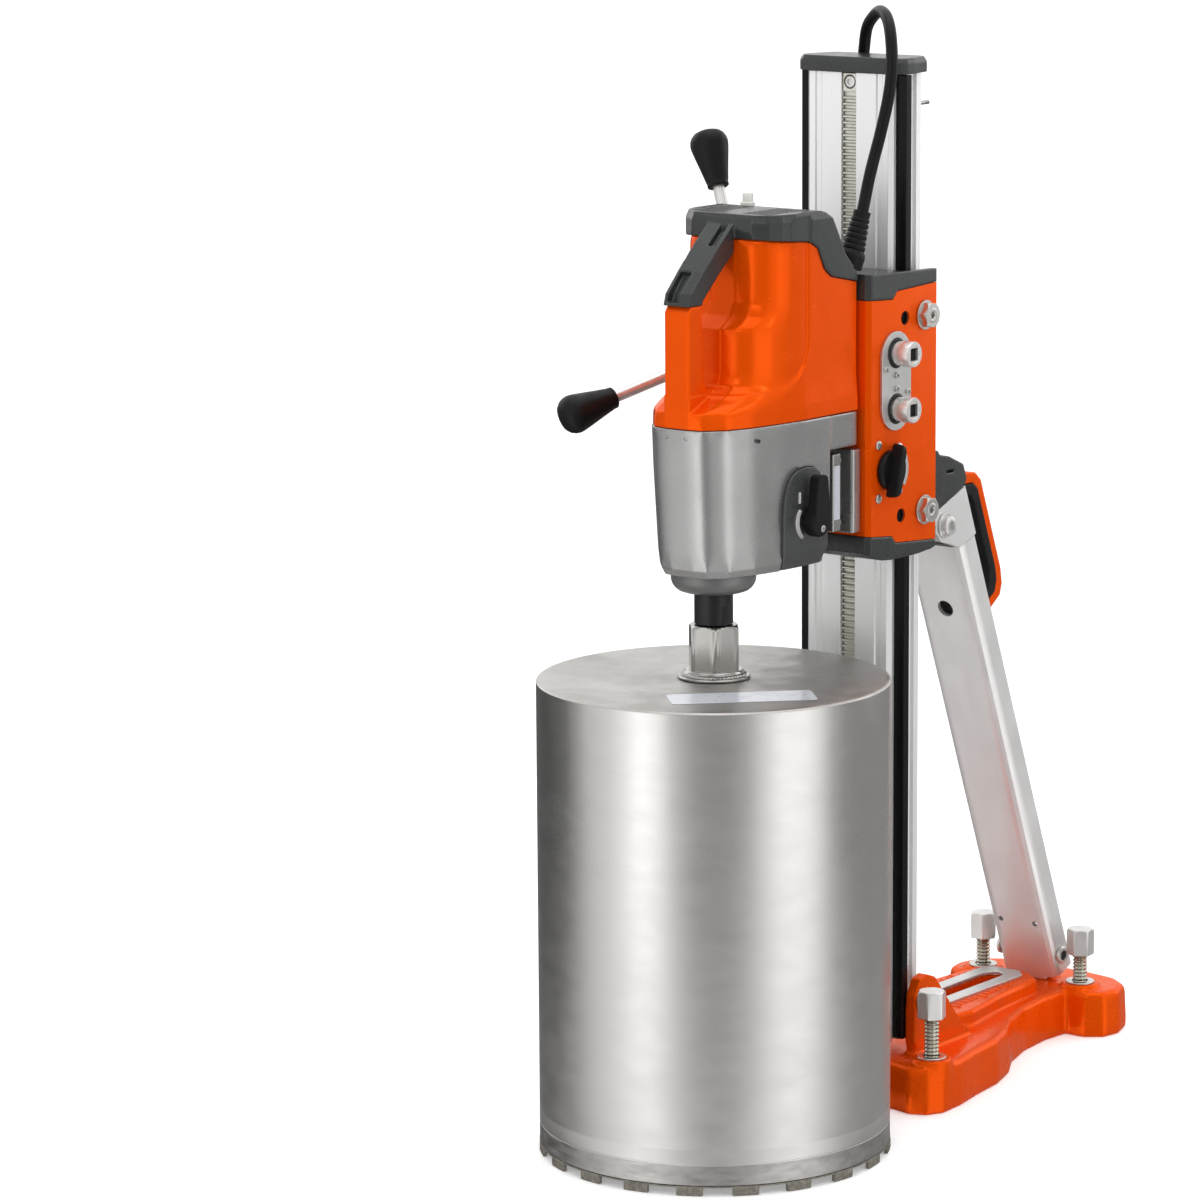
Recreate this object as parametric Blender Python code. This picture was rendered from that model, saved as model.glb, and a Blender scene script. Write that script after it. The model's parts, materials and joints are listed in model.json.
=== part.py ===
"""Core drill rig: drill stand with tilting column, feed carriage, drill motor and core bit.

Object coordinates are metres with +Z up; every number below is in millimetres
and is scaled when a piece is written. The origin lies on the floor under the
column's centre line. +X (right) is the side with the two square feed sockets,
-Y (front) is the drilling side and +Y is the rear of the stand.
"""
import math

import bmesh
import bpy
from mathutils import Matrix, Vector

MM = 0.001
GAP = 0.3                       # clearance between neighbouring pieces

# Stand. Axes along x are (y, z), axes along z are (x, y).
COLUMN_HALF_X, COLUMN_HALF_Y = 52.3, 27.8
COLUMN_Z0, COLUMN_Z1 = 61.6, 1056.0
TILT_AXIS = (0.0, 105.0)
FOOT_AXIS = (322.0, 80.0)       # foot pivot of the strut
STRUT_LEAN = math.radians(21.3)
STRUT_HALF_X = 37.0
STRUT_TOP_AXIS = (93, 585)      # bolts between strut and slider
FRONT_SCREWS = ((103.0, -22.0), (-103.0, -22.0))
REAR_SCREWS = ((63.3, 320.6), (-63.3, 320.6))
SCREWS = FRONT_SCREWS + REAR_SCREWS

# Tooth forms: module, addendum, dedendum, tooth thickness
PINION_TOOTH = (2.0, 1.7, 2.2, 2.1)
FEED_TOOTH = (4.0, 2.4, 3.6, 4.2)
MOTOR_TOOTH = (10 / 3, 1.9, 2.6, 3.3)
SPINDLE_TOOTH = (4.0, 2.2, 3.2, 4.0)

# Feed
RACK_MODULE = PINION_TOOTH[0]
RACK_PITCH = math.pi * RACK_MODULE
RACK_LINE_Y = -25.0
PINION_TEETH, LOW_TEETH, UP_TEETH = 26, 18, 10
SHAFT_Y = RACK_LINE_Y - RACK_MODULE * PINION_TEETH / 2
LOWER_Z = 726.0
UPPER_Z = LOWER_Z + FEED_TOOTH[0] * (LOW_TEETH + UP_TEETH) / 2
LOWER_SHAFT, UPPER_SHAFT = (SHAFT_Y, LOWER_Z), (SHAFT_Y, UPPER_Z)
FEED_GEAR_X = (-82.5, -75.0)
ROLLER_Y, ROLLER_R = 2.0, 11.5
ROLLER_Z = (617.0, 815.0)
LOCK_AXIS = (-61.0, 665.0)

# Drill
ROTOR_TEETH, LAY_UPPER_TEETH, LAY_LOWER_TEETH, SPINDLE_TEETH = 6, 21, 6, 16
SPINDLE_Y = -254.0
LAYSHAFT_Y = SPINDLE_Y + SPINDLE_TOOTH[0] * (LAY_LOWER_TEETH + SPINDLE_TEETH) / 2
ROTOR_Y = LAYSHAFT_Y + MOTOR_TOOTH[0] * (LAY_UPPER_TEETH + ROTOR_TEETH) / 2
SPINDLE, LAYSHAFT, ROTOR = (0, SPINDLE_Y), (0, LAYSHAFT_Y), (0, ROTOR_Y)
SELECTOR_Y, SELECTOR_Z = -182.5, 629.0

SIDES = ((1, "right"), (-1, "left"))

MATERIALS = {
    "orange_paint": dict(colour=(0.80, 0.078, 0.004), metallic=0.0, roughness=0.30),
    "grey_plastic": dict(colour=(0.055, 0.058, 0.057), metallic=0.0, roughness=0.55),
    "black_rubber": dict(colour=(0.012, 0.012, 0.013), metallic=0.0, roughness=0.60),
    "cast_silver": dict(colour=(0.46, 0.46, 0.45), metallic=0.85, roughness=0.42),
    "anodised": dict(colour=(0.66, 0.66, 0.66), metallic=0.9, roughness=0.35),
    "brushed_bit": dict(colour=(0.55, 0.54, 0.52), metallic=1.0, roughness=0.33),
    "zinc": dict(colour=(0.60, 0.59, 0.56), metallic=1.0, roughness=0.30),
    "dark_steel": dict(colour=(0.03, 0.03, 0.03), metallic=0.6, roughness=0.40),
}

for old in list(bpy.data.objects):
    bpy.data.objects.remove(old, do_unlink=True)

scene = bpy.context.scene
rig = bpy.data.collections.new("core_drill_rig")
scene.collection.children.link(rig)
cutters = bpy.data.collections.new("cutters")
scene.collection.children.link(cutters)


# ---------------------------------------------------------------- objects
def material(name, colour, metallic, roughness):
    mat = bpy.data.materials.new(name)
    mat.use_nodes = True
    shader = mat.node_tree.nodes["Principled BSDF"]
    shader.inputs["Base Color"].default_value = (*colour, 1.0)
    shader.inputs["Metallic"].default_value = metallic
    shader.inputs["Roughness"].default_value = roughness
    mat.diffuse_color = (*colour, 1.0)
    return mat


def piece(name, bm, finish=None, smooth=None, collection=rig):
    """Write a bmesh as one object; smooth is the sharp-edge angle in degrees."""
    bmesh.ops.recalc_face_normals(bm, faces=bm.faces)
    bmesh.ops.scale(bm, vec=(MM, MM, MM), verts=bm.verts)
    mesh = bpy.data.meshes.new(name)
    bm.to_mesh(mesh)
    bm.free()
    if smooth:
        mesh.shade_smooth()
        mesh.set_sharp_from_angle(angle=math.radians(smooth))
    ob = bpy.data.objects.new(name, mesh)
    collection.objects.link(ob)
    if finish:
        mesh.materials.append(material(name + "_" + finish, **MATERIALS[finish]))
    return ob


def tool(bm, name):
    ob = piece(name, bm, collection=cutters)
    ob.hide_render = True
    ob.display_type = "WIRE"
    return ob


def boolean_with(ob, name, operation, operand):
    mod = ob.modifiers.new(name, "BOOLEAN")
    mod.operation = operation
    mod.solver = "EXACT"
    mod.object = operand


def boolean(ob, bm, operation):
    count = len(ob.modifiers) + 1
    boolean_with(ob, "bool%d" % count, operation, tool(bm, ob.name + "_tool%d" % count))


def cut(ob, bm):
    boolean(ob, bm, "DIFFERENCE")


def add(ob, bm):
    boolean(ob, bm, "UNION")


def on_axis(name, at, members):
    """Parent the members to an empty on their joint's axis."""
    pivot = bpy.data.objects.new(name, None)
    pivot.empty_display_size = 0.03
    pivot.location = [c * MM for c in at]
    rig.objects.link(pivot)
    bpy.context.view_layer.update()
    for ob in members:
        ob.parent = pivot
        ob.matrix_parent_inverse = pivot.matrix_world.inverted()


# ---------------------------------------------------------------- solids
# Turns local +Z onto the named axis
AXIS_TURN = {
    "x": Matrix(((0, 0, 1, 0), (1, 0, 0, 0), (0, 1, 0, 0), (0, 0, 0, 1))),
    "y": Matrix.Rotation(-math.pi / 2, 4, "X"),
    "z": Matrix.Identity(4),
}


def placed(axis, centre=(0.0, 0.0), along=0.0):
    """Matrix for a part drawn along local Z; centre holds the two other coordinates."""
    at = list(centre)
    at.insert("xyz".index(axis), along)
    return Matrix.Translation(at) @ AXIS_TURN[axis]


def aimed(origin, direction):
    """Matrix that puts local Z along a direction."""
    turn = Vector((0, 0, 1)).rotation_difference(direction)
    return Matrix.Translation(origin) @ turn.to_matrix().to_4x4()


def transformed(bm, matrix):
    bmesh.ops.transform(bm, matrix=matrix, verts=bm.verts)
    return bm


def span(side, near, far):
    """Ordered x range of a part given for the right, on the chosen side."""
    return sorted((side * near, side * far))


def box(*ranges, bm=None):
    """Block over its x, y and z ranges."""
    bm = bm or bmesh.new()
    mid = [(a + b) / 2 for a, b in ranges]
    size = [b - a for a, b in ranges]
    bmesh.ops.create_cube(bm, size=1.0,
                          matrix=Matrix.Translation(mid) @ Matrix.Diagonal((*size, 1.0)))
    return bm


def bar(matrix, radius, start, end, sides, end_radius=None, turn=0.0, bm=None):
    """Round bar or cone along the local Z of a matrix."""
    bm = bm or bmesh.new()
    place = matrix @ Matrix.Translation((0, 0, (start + end) / 2))
    bmesh.ops.create_cone(bm, cap_ends=True, segments=sides, radius1=radius,
                          radius2=radius if end_radius is None else end_radius,
                          depth=end - start, matrix=place @ Matrix.Rotation(turn, 4, "Z"))
    return bm


def rod(axis, centre, radius, start, end, sides=20, **options):
    """Round bar or cone along x, y or z."""
    return bar(placed(axis, centre), radius, start, end, sides, **options)


def bmesh_from_curve(curve):
    """Evaluate a curve as a mesh and discard it."""
    ob = bpy.data.objects.new("outline", curve)
    scene.collection.objects.link(ob)
    depsgraph = bpy.context.evaluated_depsgraph_get()
    mesh = bpy.data.meshes.new_from_object(ob.evaluated_get(depsgraph))
    bm = bmesh.new()
    bm.from_mesh(mesh)
    bmesh.ops.remove_doubles(bm, verts=bm.verts, dist=0.0005)
    bpy.data.objects.remove(ob, do_unlink=True)
    bpy.data.curves.remove(curve)
    bpy.data.meshes.remove(mesh)
    return bm


def add_spline(curve, points):
    spline = curve.splines.new("POLY")
    spline.points.add(len(points) - 1)
    for target, point in zip(spline.points, points):
        target.co = (*point, 1.0)
    return spline


def prism(points, axis, start, end, holes=()):
    """Flat outline carried along x, as (y, z) points, or along z, as (x, y) points."""
    curve = bpy.data.curves.new("outline", "CURVE")
    curve.dimensions = "2D"
    curve.fill_mode = "BOTH"
    curve.extrude = (end - start) / 2
    for loop in (points, *holes):
        add_spline(curve, level(loop, 0.0)).use_cyclic_u = True
    return transformed(bmesh_from_curve(curve), placed(axis, along=(start + end) / 2))


def turned(profile, steps, centre=(0.0, 0.0), axis="z"):
    """Spin a closed (radius, height) profile about an axis."""
    bm = bmesh.new()
    verts = [bm.verts.new((r, 0.0, h)) for r, h in profile]
    edges = []
    for i, vert in enumerate(verts):
        j = (i + 1) % len(verts)
        if profile[i][0] != 0 or profile[j][0] != 0:
            edges.append(bm.edges.new((vert, verts[j])))
    bmesh.ops.spin(bm, geom=verts + edges, cent=(0, 0, 0), axis=(0, 0, 1),
                   angle=2 * math.pi, steps=steps, use_merge=True)
    bmesh.ops.remove_doubles(bm, verts=bm.verts, dist=0.001)
    return transformed(bm, placed(axis, centre))


def loft(rings):
    """Skin rings of equal point count and close both ends."""
    bm = bmesh.new()
    rows = [[bm.verts.new(p) for p in ring] for ring in rings]
    count = len(rows[0])
    for low, high in zip(rows, rows[1:]):
        for i in range(count):
            j = (i + 1) % count
            bm.faces.new((low[i], low[j], high[j], high[i]))
    bm.faces.new(list(reversed(rows[0])))
    bm.faces.new(rows[-1])
    return bm


# ---------------------------------------------------------------- outlines
def mirrored(half):
    """Close an outline given for +x by its mirror image."""
    return list(half) + [(-x, y) for x, y in reversed(half) if abs(x) > 1e-6]


def level(points, z):
    return [(x, y, z) for x, y in points]


def between(first, second, t):
    return [(p[0] + (q[0] - p[0]) * t, p[1] + (q[1] - p[1]) * t)
            for p, q in zip(first, second)]


def arc(centre, radius, start, end, steps, radius_v=None):
    """Arc points between two angles in degrees; radius_v makes it elliptical."""
    points = []
    for k in range(steps + 1):
        angle = math.radians(start + (end - start) * k / steps)
        points.append((centre[0] + radius * math.cos(angle),
                       centre[1] + (radius_v or radius) * math.sin(angle)))
    return points


def inset(points, distance):
    """Offset a counter-clockwise outline inward, with the miter at sharp corners limited."""
    out = []
    for i in range(len(points)):
        before, here, after = (Vector(points[j % len(points)]) for j in (i - 1, i, i + 1))
        edge_in, edge_out = (here - before).normalized(), (after - here).normalized()
        normals = Vector((-edge_in.y, edge_in.x)) + Vector((-edge_out.y, edge_out.x))
        miter = 2 * normals / max(0.35, normals.length_squared)
        out.append(tuple(here + miter * distance))
    return out


def gear_points(teeth, tooth, phase, centre):
    """Straight-flanked teeth, thinner than half the pitch so that they run free."""
    module, addendum, dedendum, thickness = tooth
    pitch_radius = teeth * module / 2
    root, tip = pitch_radius - dedendum, pitch_radius + addendum
    half_root = (thickness * 1.45) / 2 / root
    half_tip = (thickness * 0.55) / 2 / tip
    points = []
    for k in range(teeth):
        mid = phase + 2 * math.pi * k / teeth
        for radius, offset in ((root, -half_root), (tip, -half_tip),
                               (tip, half_tip), (root, half_root)):
            points.append((centre[0] + radius * math.cos(mid + offset),
                           centre[1] + radius * math.sin(mid + offset)))
    return points


def strut_to_world(bm):
    """Strut pieces are drawn upright about the foot pivot and then leaned forward."""
    bmesh.ops.rotate(bm, verts=bm.verts, cent=(0, 0, 0),
                     matrix=Matrix.Rotation(STRUT_LEAN, 3, "X"))
    bmesh.ops.translate(bm, verts=bm.verts, vec=(0, *FOOT_AXIS))
    return bm


# ---------------------------------------------------------------- base
# (x, y), right half from front to rear
BASE_HALF = [
    (0, -52), (74, -52), (98, -57), (116, -49), (126, -30), (124, 5), (116, 50), (111, 92),
    (98, 132), (78, 168), (64, 215), (59, 262), (62, 296), (84, 296), (103, 310), (107, 334),
    (98, 362), (74, 380), (30, 386), (0, 386)]
SPINE_HALF = [(0, 92), (56, 92), (60, 120), (50, 180), (44, 240), (40, 270), (22, 284), (0, 286)]
# (y, z)
TILT_EAR = [(-16, 30), (-14, 112), (-4, 128), (8, 131), (22, 126), (34, 112), (74, 64), (88, 58),
            (88, 30)]
COLUMN_POCKET = [(-62, 105), (-54, 60), (-36, 51.5), (30, 51.5), (70, 75), (70, 140), (-62, 140)]
EAR_X = (64.9, 77.0)            # inner and outer face
SLOT_R, SLOT_Y0, SLOT_Y1 = 13.5, 128, 244
ANCHOR_SLOT = (arc((0, SLOT_Y0), SLOT_R, 180, 360, 6)
               + arc((0, SLOT_Y1), SLOT_R, 0, 180, 6))
ANCHOR_Z = (65.0, 69.0)


def anchor_outline(gap):
    return [(-27 - gap, 110 - gap), (27 + gap, 110 - gap), (27 + gap, 262),
            (16, 274 + gap), (-16, 274 + gap), (-27 - gap, 262)]


def build_base():
    outline = mirrored(BASE_HALF)
    base = piece("base_plate", loft([level(inset(outline, 2.0), 0.0),
                                     level(outline, 6.0),
                                     level(inset(outline, 1.75), 44.0),
                                     level(inset(outline, 4.5), 49.0)]),
                 "orange_paint", smooth=38)
    # raised spine that carries the anchor-slot plate
    spine = mirrored(SPINE_HALF)
    add(base, loft([level(inset(spine, -2.0), 30.0), level(spine, 62.0),
                    level(inset(spine, 2.5), 66.0)]))
    screw_pads = bmesh.new()
    for centre in SCREWS:
        rod("z", centre, 23.0, 30.0, 54.0, end_radius=21.0, bm=screw_pads)
    add(base, screw_pads)
    # ears that hold the column's tilt pin, left then right
    for side in (-1, 1):
        add(base, prism(TILT_EAR, "x", *span(side, *EAR_X)))
    # lug under the strut
    lug = arc((0, 0), 8.6, 0, 180, 9) + [(-8.6, -52), (12.0, -52)]
    add(base, strut_to_world(prism(lug, "x", -21.5, 21.5)))
    # pocket for the column's foot, underside relief, bores
    cut(base, prism(COLUMN_POCKET, "x", -EAR_X[0], EAR_X[0]))
    cut(base, box((-44, 44), (22, 86), (-5, 30)))
    screw_bores = bmesh.new()
    for centre in SCREWS:
        rod("z", centre, 8.6, -10.0, 80.0, 16, bm=screw_bores)
    cut(base, screw_bores)
    cut(base, rod("x", TILT_AXIS, 8.4, -90, 90, 16))
    cut(base, rod("x", FOOT_AXIS, 6.4, -40, 40, 16))
    cut(base, prism(ANCHOR_SLOT, "z", -10, 90))
    # seat for the slot plate
    cut(base, prism(anchor_outline(GAP), "z", ANCHOR_Z[0] - GAP, 90))


def build_anchor_plate():
    mid_y = (SLOT_Y0 + SLOT_Y1) / 2
    slot = [(x * 0.83, mid_y + (y - mid_y) * 0.985) for x, y in ANCHOR_SLOT]
    piece("anchor_plate", prism(anchor_outline(0), "z", *ANCHOR_Z, holes=(slot,)), "zinc")


def build_tilt_bolt():
    bolt = piece("tilt_bolt", rod("x", TILT_AXIS, 8.1, -76, 76), "zinc", smooth=40)
    for side in (1, -1):
        add(bolt, rod("x", TILT_AXIS, 13.0, *span(side, 77.3, 86.0), 6))
    add(bolt, rod("x", TILT_AXIS, 8.1, -80, 80))


def build_foot_bolt():
    bolt = piece("strut_foot_bolt", rod("x", FOOT_AXIS, 6.1, -40, 40, 16), "dark_steel",
                 smooth=40)
    for side in (1, -1):
        add(bolt, rod("x", FOOT_AXIS, 9.5, *span(side, 37.4, 41.4), 16))
    # hexagon socket in the right head
    cut(bolt, rod("x", FOOT_AXIS, 5.5, 39.4, 50.0, 6))


def build_levelling_screws():
    names = ("front_right", "front_left", "rear_right", "rear_left")
    for k, (place, centre) in enumerate(zip(names, SCREWS)):
        head_z = 96.0 if centre in FRONT_SCREWS else 85.5
        shank = [(0, 0), (5.5, 0), (7.9, 3), (7.9, head_z + 0.5), (0, head_z + 0.5)]
        name = "screw_" + place
        screw = piece(name, turned(shank, 14, centre), "zinc", smooth=40)
        add(screw, rod("z", centre, 15.0, head_z, head_z + 28.5, 6, turn=0.35 + 0.4 * k))
        on_axis(name + "_axis", (*centre, 60), [screw])


# ---------------------------------------------------------------- column
X, Y = COLUMN_HALF_X, COLUMN_HALF_Y
# (x, y), right half of the extrusion from front to rear
COLUMN_SECTION = [
    (0, -Y + 9), (9, -Y + 9), (9, -Y), (33, -Y), (34.5, -Y + 1.5), (40, -Y + 1.5), (41.5, -Y),
    (X - 4, -Y), (X, -Y + 4), (X, -19.6), (X - 5, -19.6), (X - 5, -9.2), (X, -9.2), (X, 4),
    (X - 4, 6), (X - 4, 14), (X, 16), (X, Y - 4), (X - 4, Y), (20, Y), (20, Y - 6), (27, Y - 6),
    (27, Y - 14), (0, Y - 14)]
COLUMN_HOLE = [(-43, -14.5), (-43, 9.0), (43, 9.0), (43, -14.5)]
COLUMN_CAP = [
    (-X - 4, -Y - 3), (X + 4, -Y - 3), (X + 9, -Y + 2), (X + 13.5, -20), (X + 13.5, -6),
    (X + 7, Y - 4), (X + 2, Y + 3), (-X - 2, Y + 3), (-X - 7, Y - 4), (-X - 13.5, -6),
    (-X - 13.5, -20), (-X - 9, -Y + 2)]


def rack_outline():
    """(y, z) outline; the teeth are in step with the pinion."""
    back_y, root_y, tip_y = -19.2, -23.0, -26.8
    z = LOWER_Z + 0.5 * RACK_PITCH
    while z > 112:
        z -= RACK_PITCH
    points = [(back_y, z - 6), (root_y, z - 6)]
    while z < 1034:
        points += [(root_y, z - 1.85), (tip_y, z - 0.75), (tip_y, z + 0.75), (root_y, z + 1.85)]
        z += RACK_PITCH
    return points + [(root_y, z + 2), (back_y, z + 2)]


def build_column():
    column = piece("column", prism(mirrored(COLUMN_SECTION), "z", COLUMN_Z0, COLUMN_Z1,
                                   holes=(COLUMN_HOLE,)), "anodised", smooth=30)
    cut(column, rod("x", TILT_AXIS, 8.6, -80, 80, 16))
    rails = [piece("rail_" + label, box(span(side, X - 4.6, 64.3), (-19.1, -9.7),
                                        (COLUMN_Z0 + 4, COLUMN_Z1 - 0.5)), "dark_steel")
             for side, label in SIDES]
    rack = piece("rack", prism(rack_outline(), "x", -8.0, 8.0), "zinc")
    top = [(x * 0.96, y * 0.92) for x, y in COLUMN_CAP]
    cap = piece("column_cap", loft([level(COLUMN_CAP, COLUMN_Z1 + GAP),
                                    level(COLUMN_CAP, 1067.0), level(top, 1072.0)]),
                "grey_plastic", smooth=35)
    on_axis("column_tilt_axis", (0, *TILT_AXIS), [column, *rails, rack, cap])


# ---------------------------------------------------------------- strut
SLIDER_Z = (548, 622)
# (y, z) in world coordinates
SLIDER_LUG = [(40, 566), (93, 569), (104, 573.5), (109, 585), (104, 596.5), (93, 601), (40, 601)]
STRUT_CAP = [(70.5, 598.8), (131.0, 622.4), (133.5, 630.0), (127, 645), (101, 656), (84, 659.5),
             (80, 664.5), (56, 664.5), (49, 656), (50, 613)]
# (y, z) about the foot pivot, strut upright
FOOT_NOTCH = [(-30, -40), (30, -40), (30, -17), (12, -21), (-30, -24)]
FORK_CHEEK = [(-12.5, 517.4), (-30, 532), (-42, 540), (-46.5, 553), (-45, 573.7), (18.2, 573.7),
              (18.2, 517.4)]
FORK_TONGUE = [(-1.0, 478), (12.0, 478), (12.0, 530), (-1.0, 530)]
FORK_INNER_X = 28.5
HANDLE = [
    (18.5, 572), (58, 566), (71, 559), (77.5, 547), (77.5, 440), (74, 423), (66, 413),
    (18.5, 403), (18.5, 413.5), (58, 421.5), (65.7, 432), (68.7, 446), (68.7, 541), (63, 551),
    (52, 555.5), (18.5, 561)]
GRIP = [
    (26, 415.6), (57.8, 422.0), (65.4, 432.2), (68.3, 446), (68.3, 540.6), (62.8, 550.6),
    (51.8, 555.1), (26, 559.3), (26, 550), (46, 546), (54, 540), (56.5, 532), (56.5, 450),
    (53, 439), (46, 431), (26, 427)]


def build_slider():
    slider = piece("strut_slider", box((-19.5, 19.5), (22.2, 46), SLIDER_Z), "zinc")
    # wide foot in the column's rear groove, then the neck
    add(slider, box((-26.5, 26.5), (14.3, 21.3), SLIDER_Z))
    add(slider, box((-19.5, 19.5), (14.3, 30), SLIDER_Z))
    for side in (-1, 1):
        add(slider, prism(SLIDER_LUG, "x", *span(side, 10.0, 19.0)))
        cut(slider, rod("x", STRUT_TOP_AXIS, 6.0, side * 14.5 - 10, side * 14.5 + 10, 12))
    clamp_axis = (60, 585)
    clamp = piece("slider_clamp", rod("x", clamp_axis, 9.0, 19.4, 34.0), "zinc", smooth=40)
    add(clamp, rod("x", clamp_axis, 15.0, 33.0, 40.0, 6))


def rounded(half_x, y0, y1, front_radius, rear_radius):
    """Rectangle with four-step rounded corners."""
    front, rear = front_radius, rear_radius
    return (arc((half_x - rear, y1 - rear), rear, 0, 90, 4)
            + arc((-half_x + rear, y1 - rear), rear, 90, 180, 4)
            + arc((-half_x + front, y0 + front), front, 180, 270, 4)
            + arc((half_x - front, y0 + front), front, 270, 360, 4))


def build_strut_tube():
    outer = rounded(STRUT_HALF_X, -13.6, 18.2, 12.0, 5.0)
    inner = rounded(32.6, -9.2, 13.8, 7.6, 1.5)
    tube = piece("strut_tube", strut_to_world(prism(outer, "z", -27, 517, holes=(inner,))),
                 "anodised", smooth=35)
    # the tube's foot straddles the lug on the base
    cut(tube, strut_to_world(box((-24, 24), (10, 30), (-40, 26))))
    for side in (-1, 1):
        cut(tube, strut_to_world(prism(FOOT_NOTCH, "x", *span(side, 20, 60))))
    cut(tube, rod("x", FOOT_AXIS, 6.6, -60, 60, 16))
    # two small holes low in the front wall and a larger one high up
    front_holes = bmesh.new()
    for x in (-22, 22):
        rod("y", (x, 46), 3.4, -30, -3, 12, bm=front_holes)
    rod("y", (0, 440), 9.5, -30, -3, 16, bm=front_holes)
    cut(tube, strut_to_world(front_holes))
    return tube


def build_fork():
    """Two cheeks, a rear web and tongues that sit inside the tube."""
    right, left = span(1, FORK_INNER_X, STRUT_HALF_X), span(-1, FORK_INNER_X, STRUT_HALF_X)
    fork = piece("strut_fork", strut_to_world(prism(FORK_CHEEK, "x", *right)), "anodised")
    add(fork, strut_to_world(prism(FORK_CHEEK, "x", *left)))
    for side in (1, -1):
        add(fork, strut_to_world(prism(FORK_TONGUE, "x", *span(side, FORK_INNER_X, 32.2))))
    add(fork, strut_to_world(box((-30, 30), (13.0, 17.9), (519, 573.5))))
    for side in (-1, 1):
        cut(fork, rod("x", STRUT_TOP_AXIS, 8.3, side * 33 - 9, side * 33 + 9, 16))
    return fork


def build_strut_bolt(side, label):
    bolt = piece("strut_bolt_" + label, rod("x", STRUT_TOP_AXIS, 8.0, *span(side, 24, 40), 16),
                 "zinc", smooth=40)
    add(bolt, rod("x", STRUT_TOP_AXIS, 13.0, *span(side, 37.3, 40)))
    add(bolt, rod("x", STRUT_TOP_AXIS, 10.0, *span(side, 39, 46)))
    cut(bolt, rod("x", STRUT_TOP_AXIS, 5.6, *span(side, 42, 50), 6))
    return bolt


def build_strut():
    tube, fork = build_strut_tube(), build_fork()
    cap = piece("strut_cap", prism(STRUT_CAP, "x", -STRUT_HALF_X, STRUT_HALF_X),
                "grey_plastic", smooth=30)
    cut(cap, box((-24, 24), (30, 120), (590, 613.5)))
    handle = piece("carry_handle", strut_to_world(prism(HANDLE, "x", -13.0, 13.0)),
                   "orange_paint", smooth=30)
    grip = piece("carry_grip", strut_to_world(prism(GRIP, "x", -14.0, 14.0)),
                 "black_rubber", smooth=30)
    bolts = [build_strut_bolt(side, label) for side, label in SIDES]
    on_axis("strut_foot_axis", (0, *FOOT_AXIS), [tube, fork, cap, handle, grip, *bolts])


# ---------------------------------------------------------------- carriage
HOUSING_X, HOUSING_INNER_X = 73.0, 65.6
REAR_Y = 23
CAP_X = HOUSING_X + 0.6
# (x, y)
HOUSING_SECTION = [
    (0, -94), (68, -94), (HOUSING_X, -90), (HOUSING_X, REAR_Y), (HOUSING_INNER_X, REAR_Y),
    (HOUSING_INNER_X, -83), (62, -86), (0, -86)]
CAP_SECTION = [(68.2, -94.5), (CAP_X, -90.3), (CAP_X, REAR_Y), (-CAP_X, REAR_Y),
               (-CAP_X, -90.3), (-68.2, -94.5)]
# (y, z) regions cut from the housing ends and from the end caps
HOUSING_BELOW = [(-99, 570), (30, 570), (30, 583.9), (-47, 589.8), (-54, 597.2), (-99, 601.8)]
HOUSING_ABOVE = [(-99, 837.7), (-53.5, 835.2), (-46, 843.0), (30, 846.4), (30, 860), (-99, 860)]
BOTTOM_CAP_CUTS = (
    [(-99, 601.4), (-54.2, 596.8), (-47.2, 589.4), (30, 583.5), (30, 610), (-99, 610)],
    [(-99, 560), (-99, 587), (-93, 583), (-84, 577.5), (-70, 574.2), (-52, 572.6), (-52, 560)],
    [(30, 570), (30, 578.0), (16, 574.6), (-10, 572.6), (-10, 570)])
TOP_CAP_CUTS = (
    [(-99, 820), (-99, 838.05), (-53.6, 835.55), (-46.1, 843.35), (30, 846.75), (30, 820)],
    [(-99, 863.8), (30, 860.0), (30, 880), (-99, 880)])


def build_housing():
    housing = piece("carriage_housing", prism(mirrored(HOUSING_SECTION), "z", 583.0, 847.0),
                    "orange_paint")
    # blocks on the inner walls in front of the rails
    for z_range in ((610, 700), (785, 830)):
        for side in (-1, 1):
            add(housing, box(span(side, 54.6, 67), (-27.0, -19.5), z_range))
    cut(housing, prism(HOUSING_BELOW, "x", -80, 80))
    cut(housing, prism(HOUSING_ABOVE, "x", -80, 80))
    bores = bmesh.new()
    for centres, radius, sides in (([(ROLLER_Y, z) for z in ROLLER_Z], 6.3, 16),
                                   ((LOWER_SHAFT, UPPER_SHAFT), 12.0, 20)):
        for centre in centres:
            for side in (-1, 1):
                rod("x", centre, radius, side * 70 - 6, side * 70 + 6, sides, bm=bores)
    # right wall only
    rod("x", (-32.0, 815.0), 7.3, 60, 80, 16, bm=bores)
    rod("x", (-38.0, 616.0), 7.3, 60, 80, 16, bm=bores)
    rod("x", LOCK_AXIS, 8.4, 62, 78, 16, bm=bores)
    cut(housing, bores)
    return housing


def build_end_cap(name, z_range, opening_z, side_cuts):
    cap = piece(name, prism(CAP_SECTION, "z", *z_range), "grey_plastic")
    cut(cap, box((-HOUSING_INNER_X, HOUSING_INNER_X), (-28.6, 40), opening_z))
    for region in side_cuts:
        cut(cap, prism(region, "x", -80, 80))
    return cap


def build_shaft_plate():
    outline = (arc((SHAFT_Y, UPPER_Z - 3), 25, 0, 180, 10)
               + arc((SHAFT_Y, LOWER_Z + 3), 25, 180, 360, 10))
    plate = piece("shaft_plate", prism(outline, "x", HOUSING_X + GAP, 76.3), "anodised",
                  smooth=30)
    for centre in (LOWER_SHAFT, UPPER_SHAFT):
        cut(plate, rod("x", centre, 15.5, 70, 90))


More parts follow.
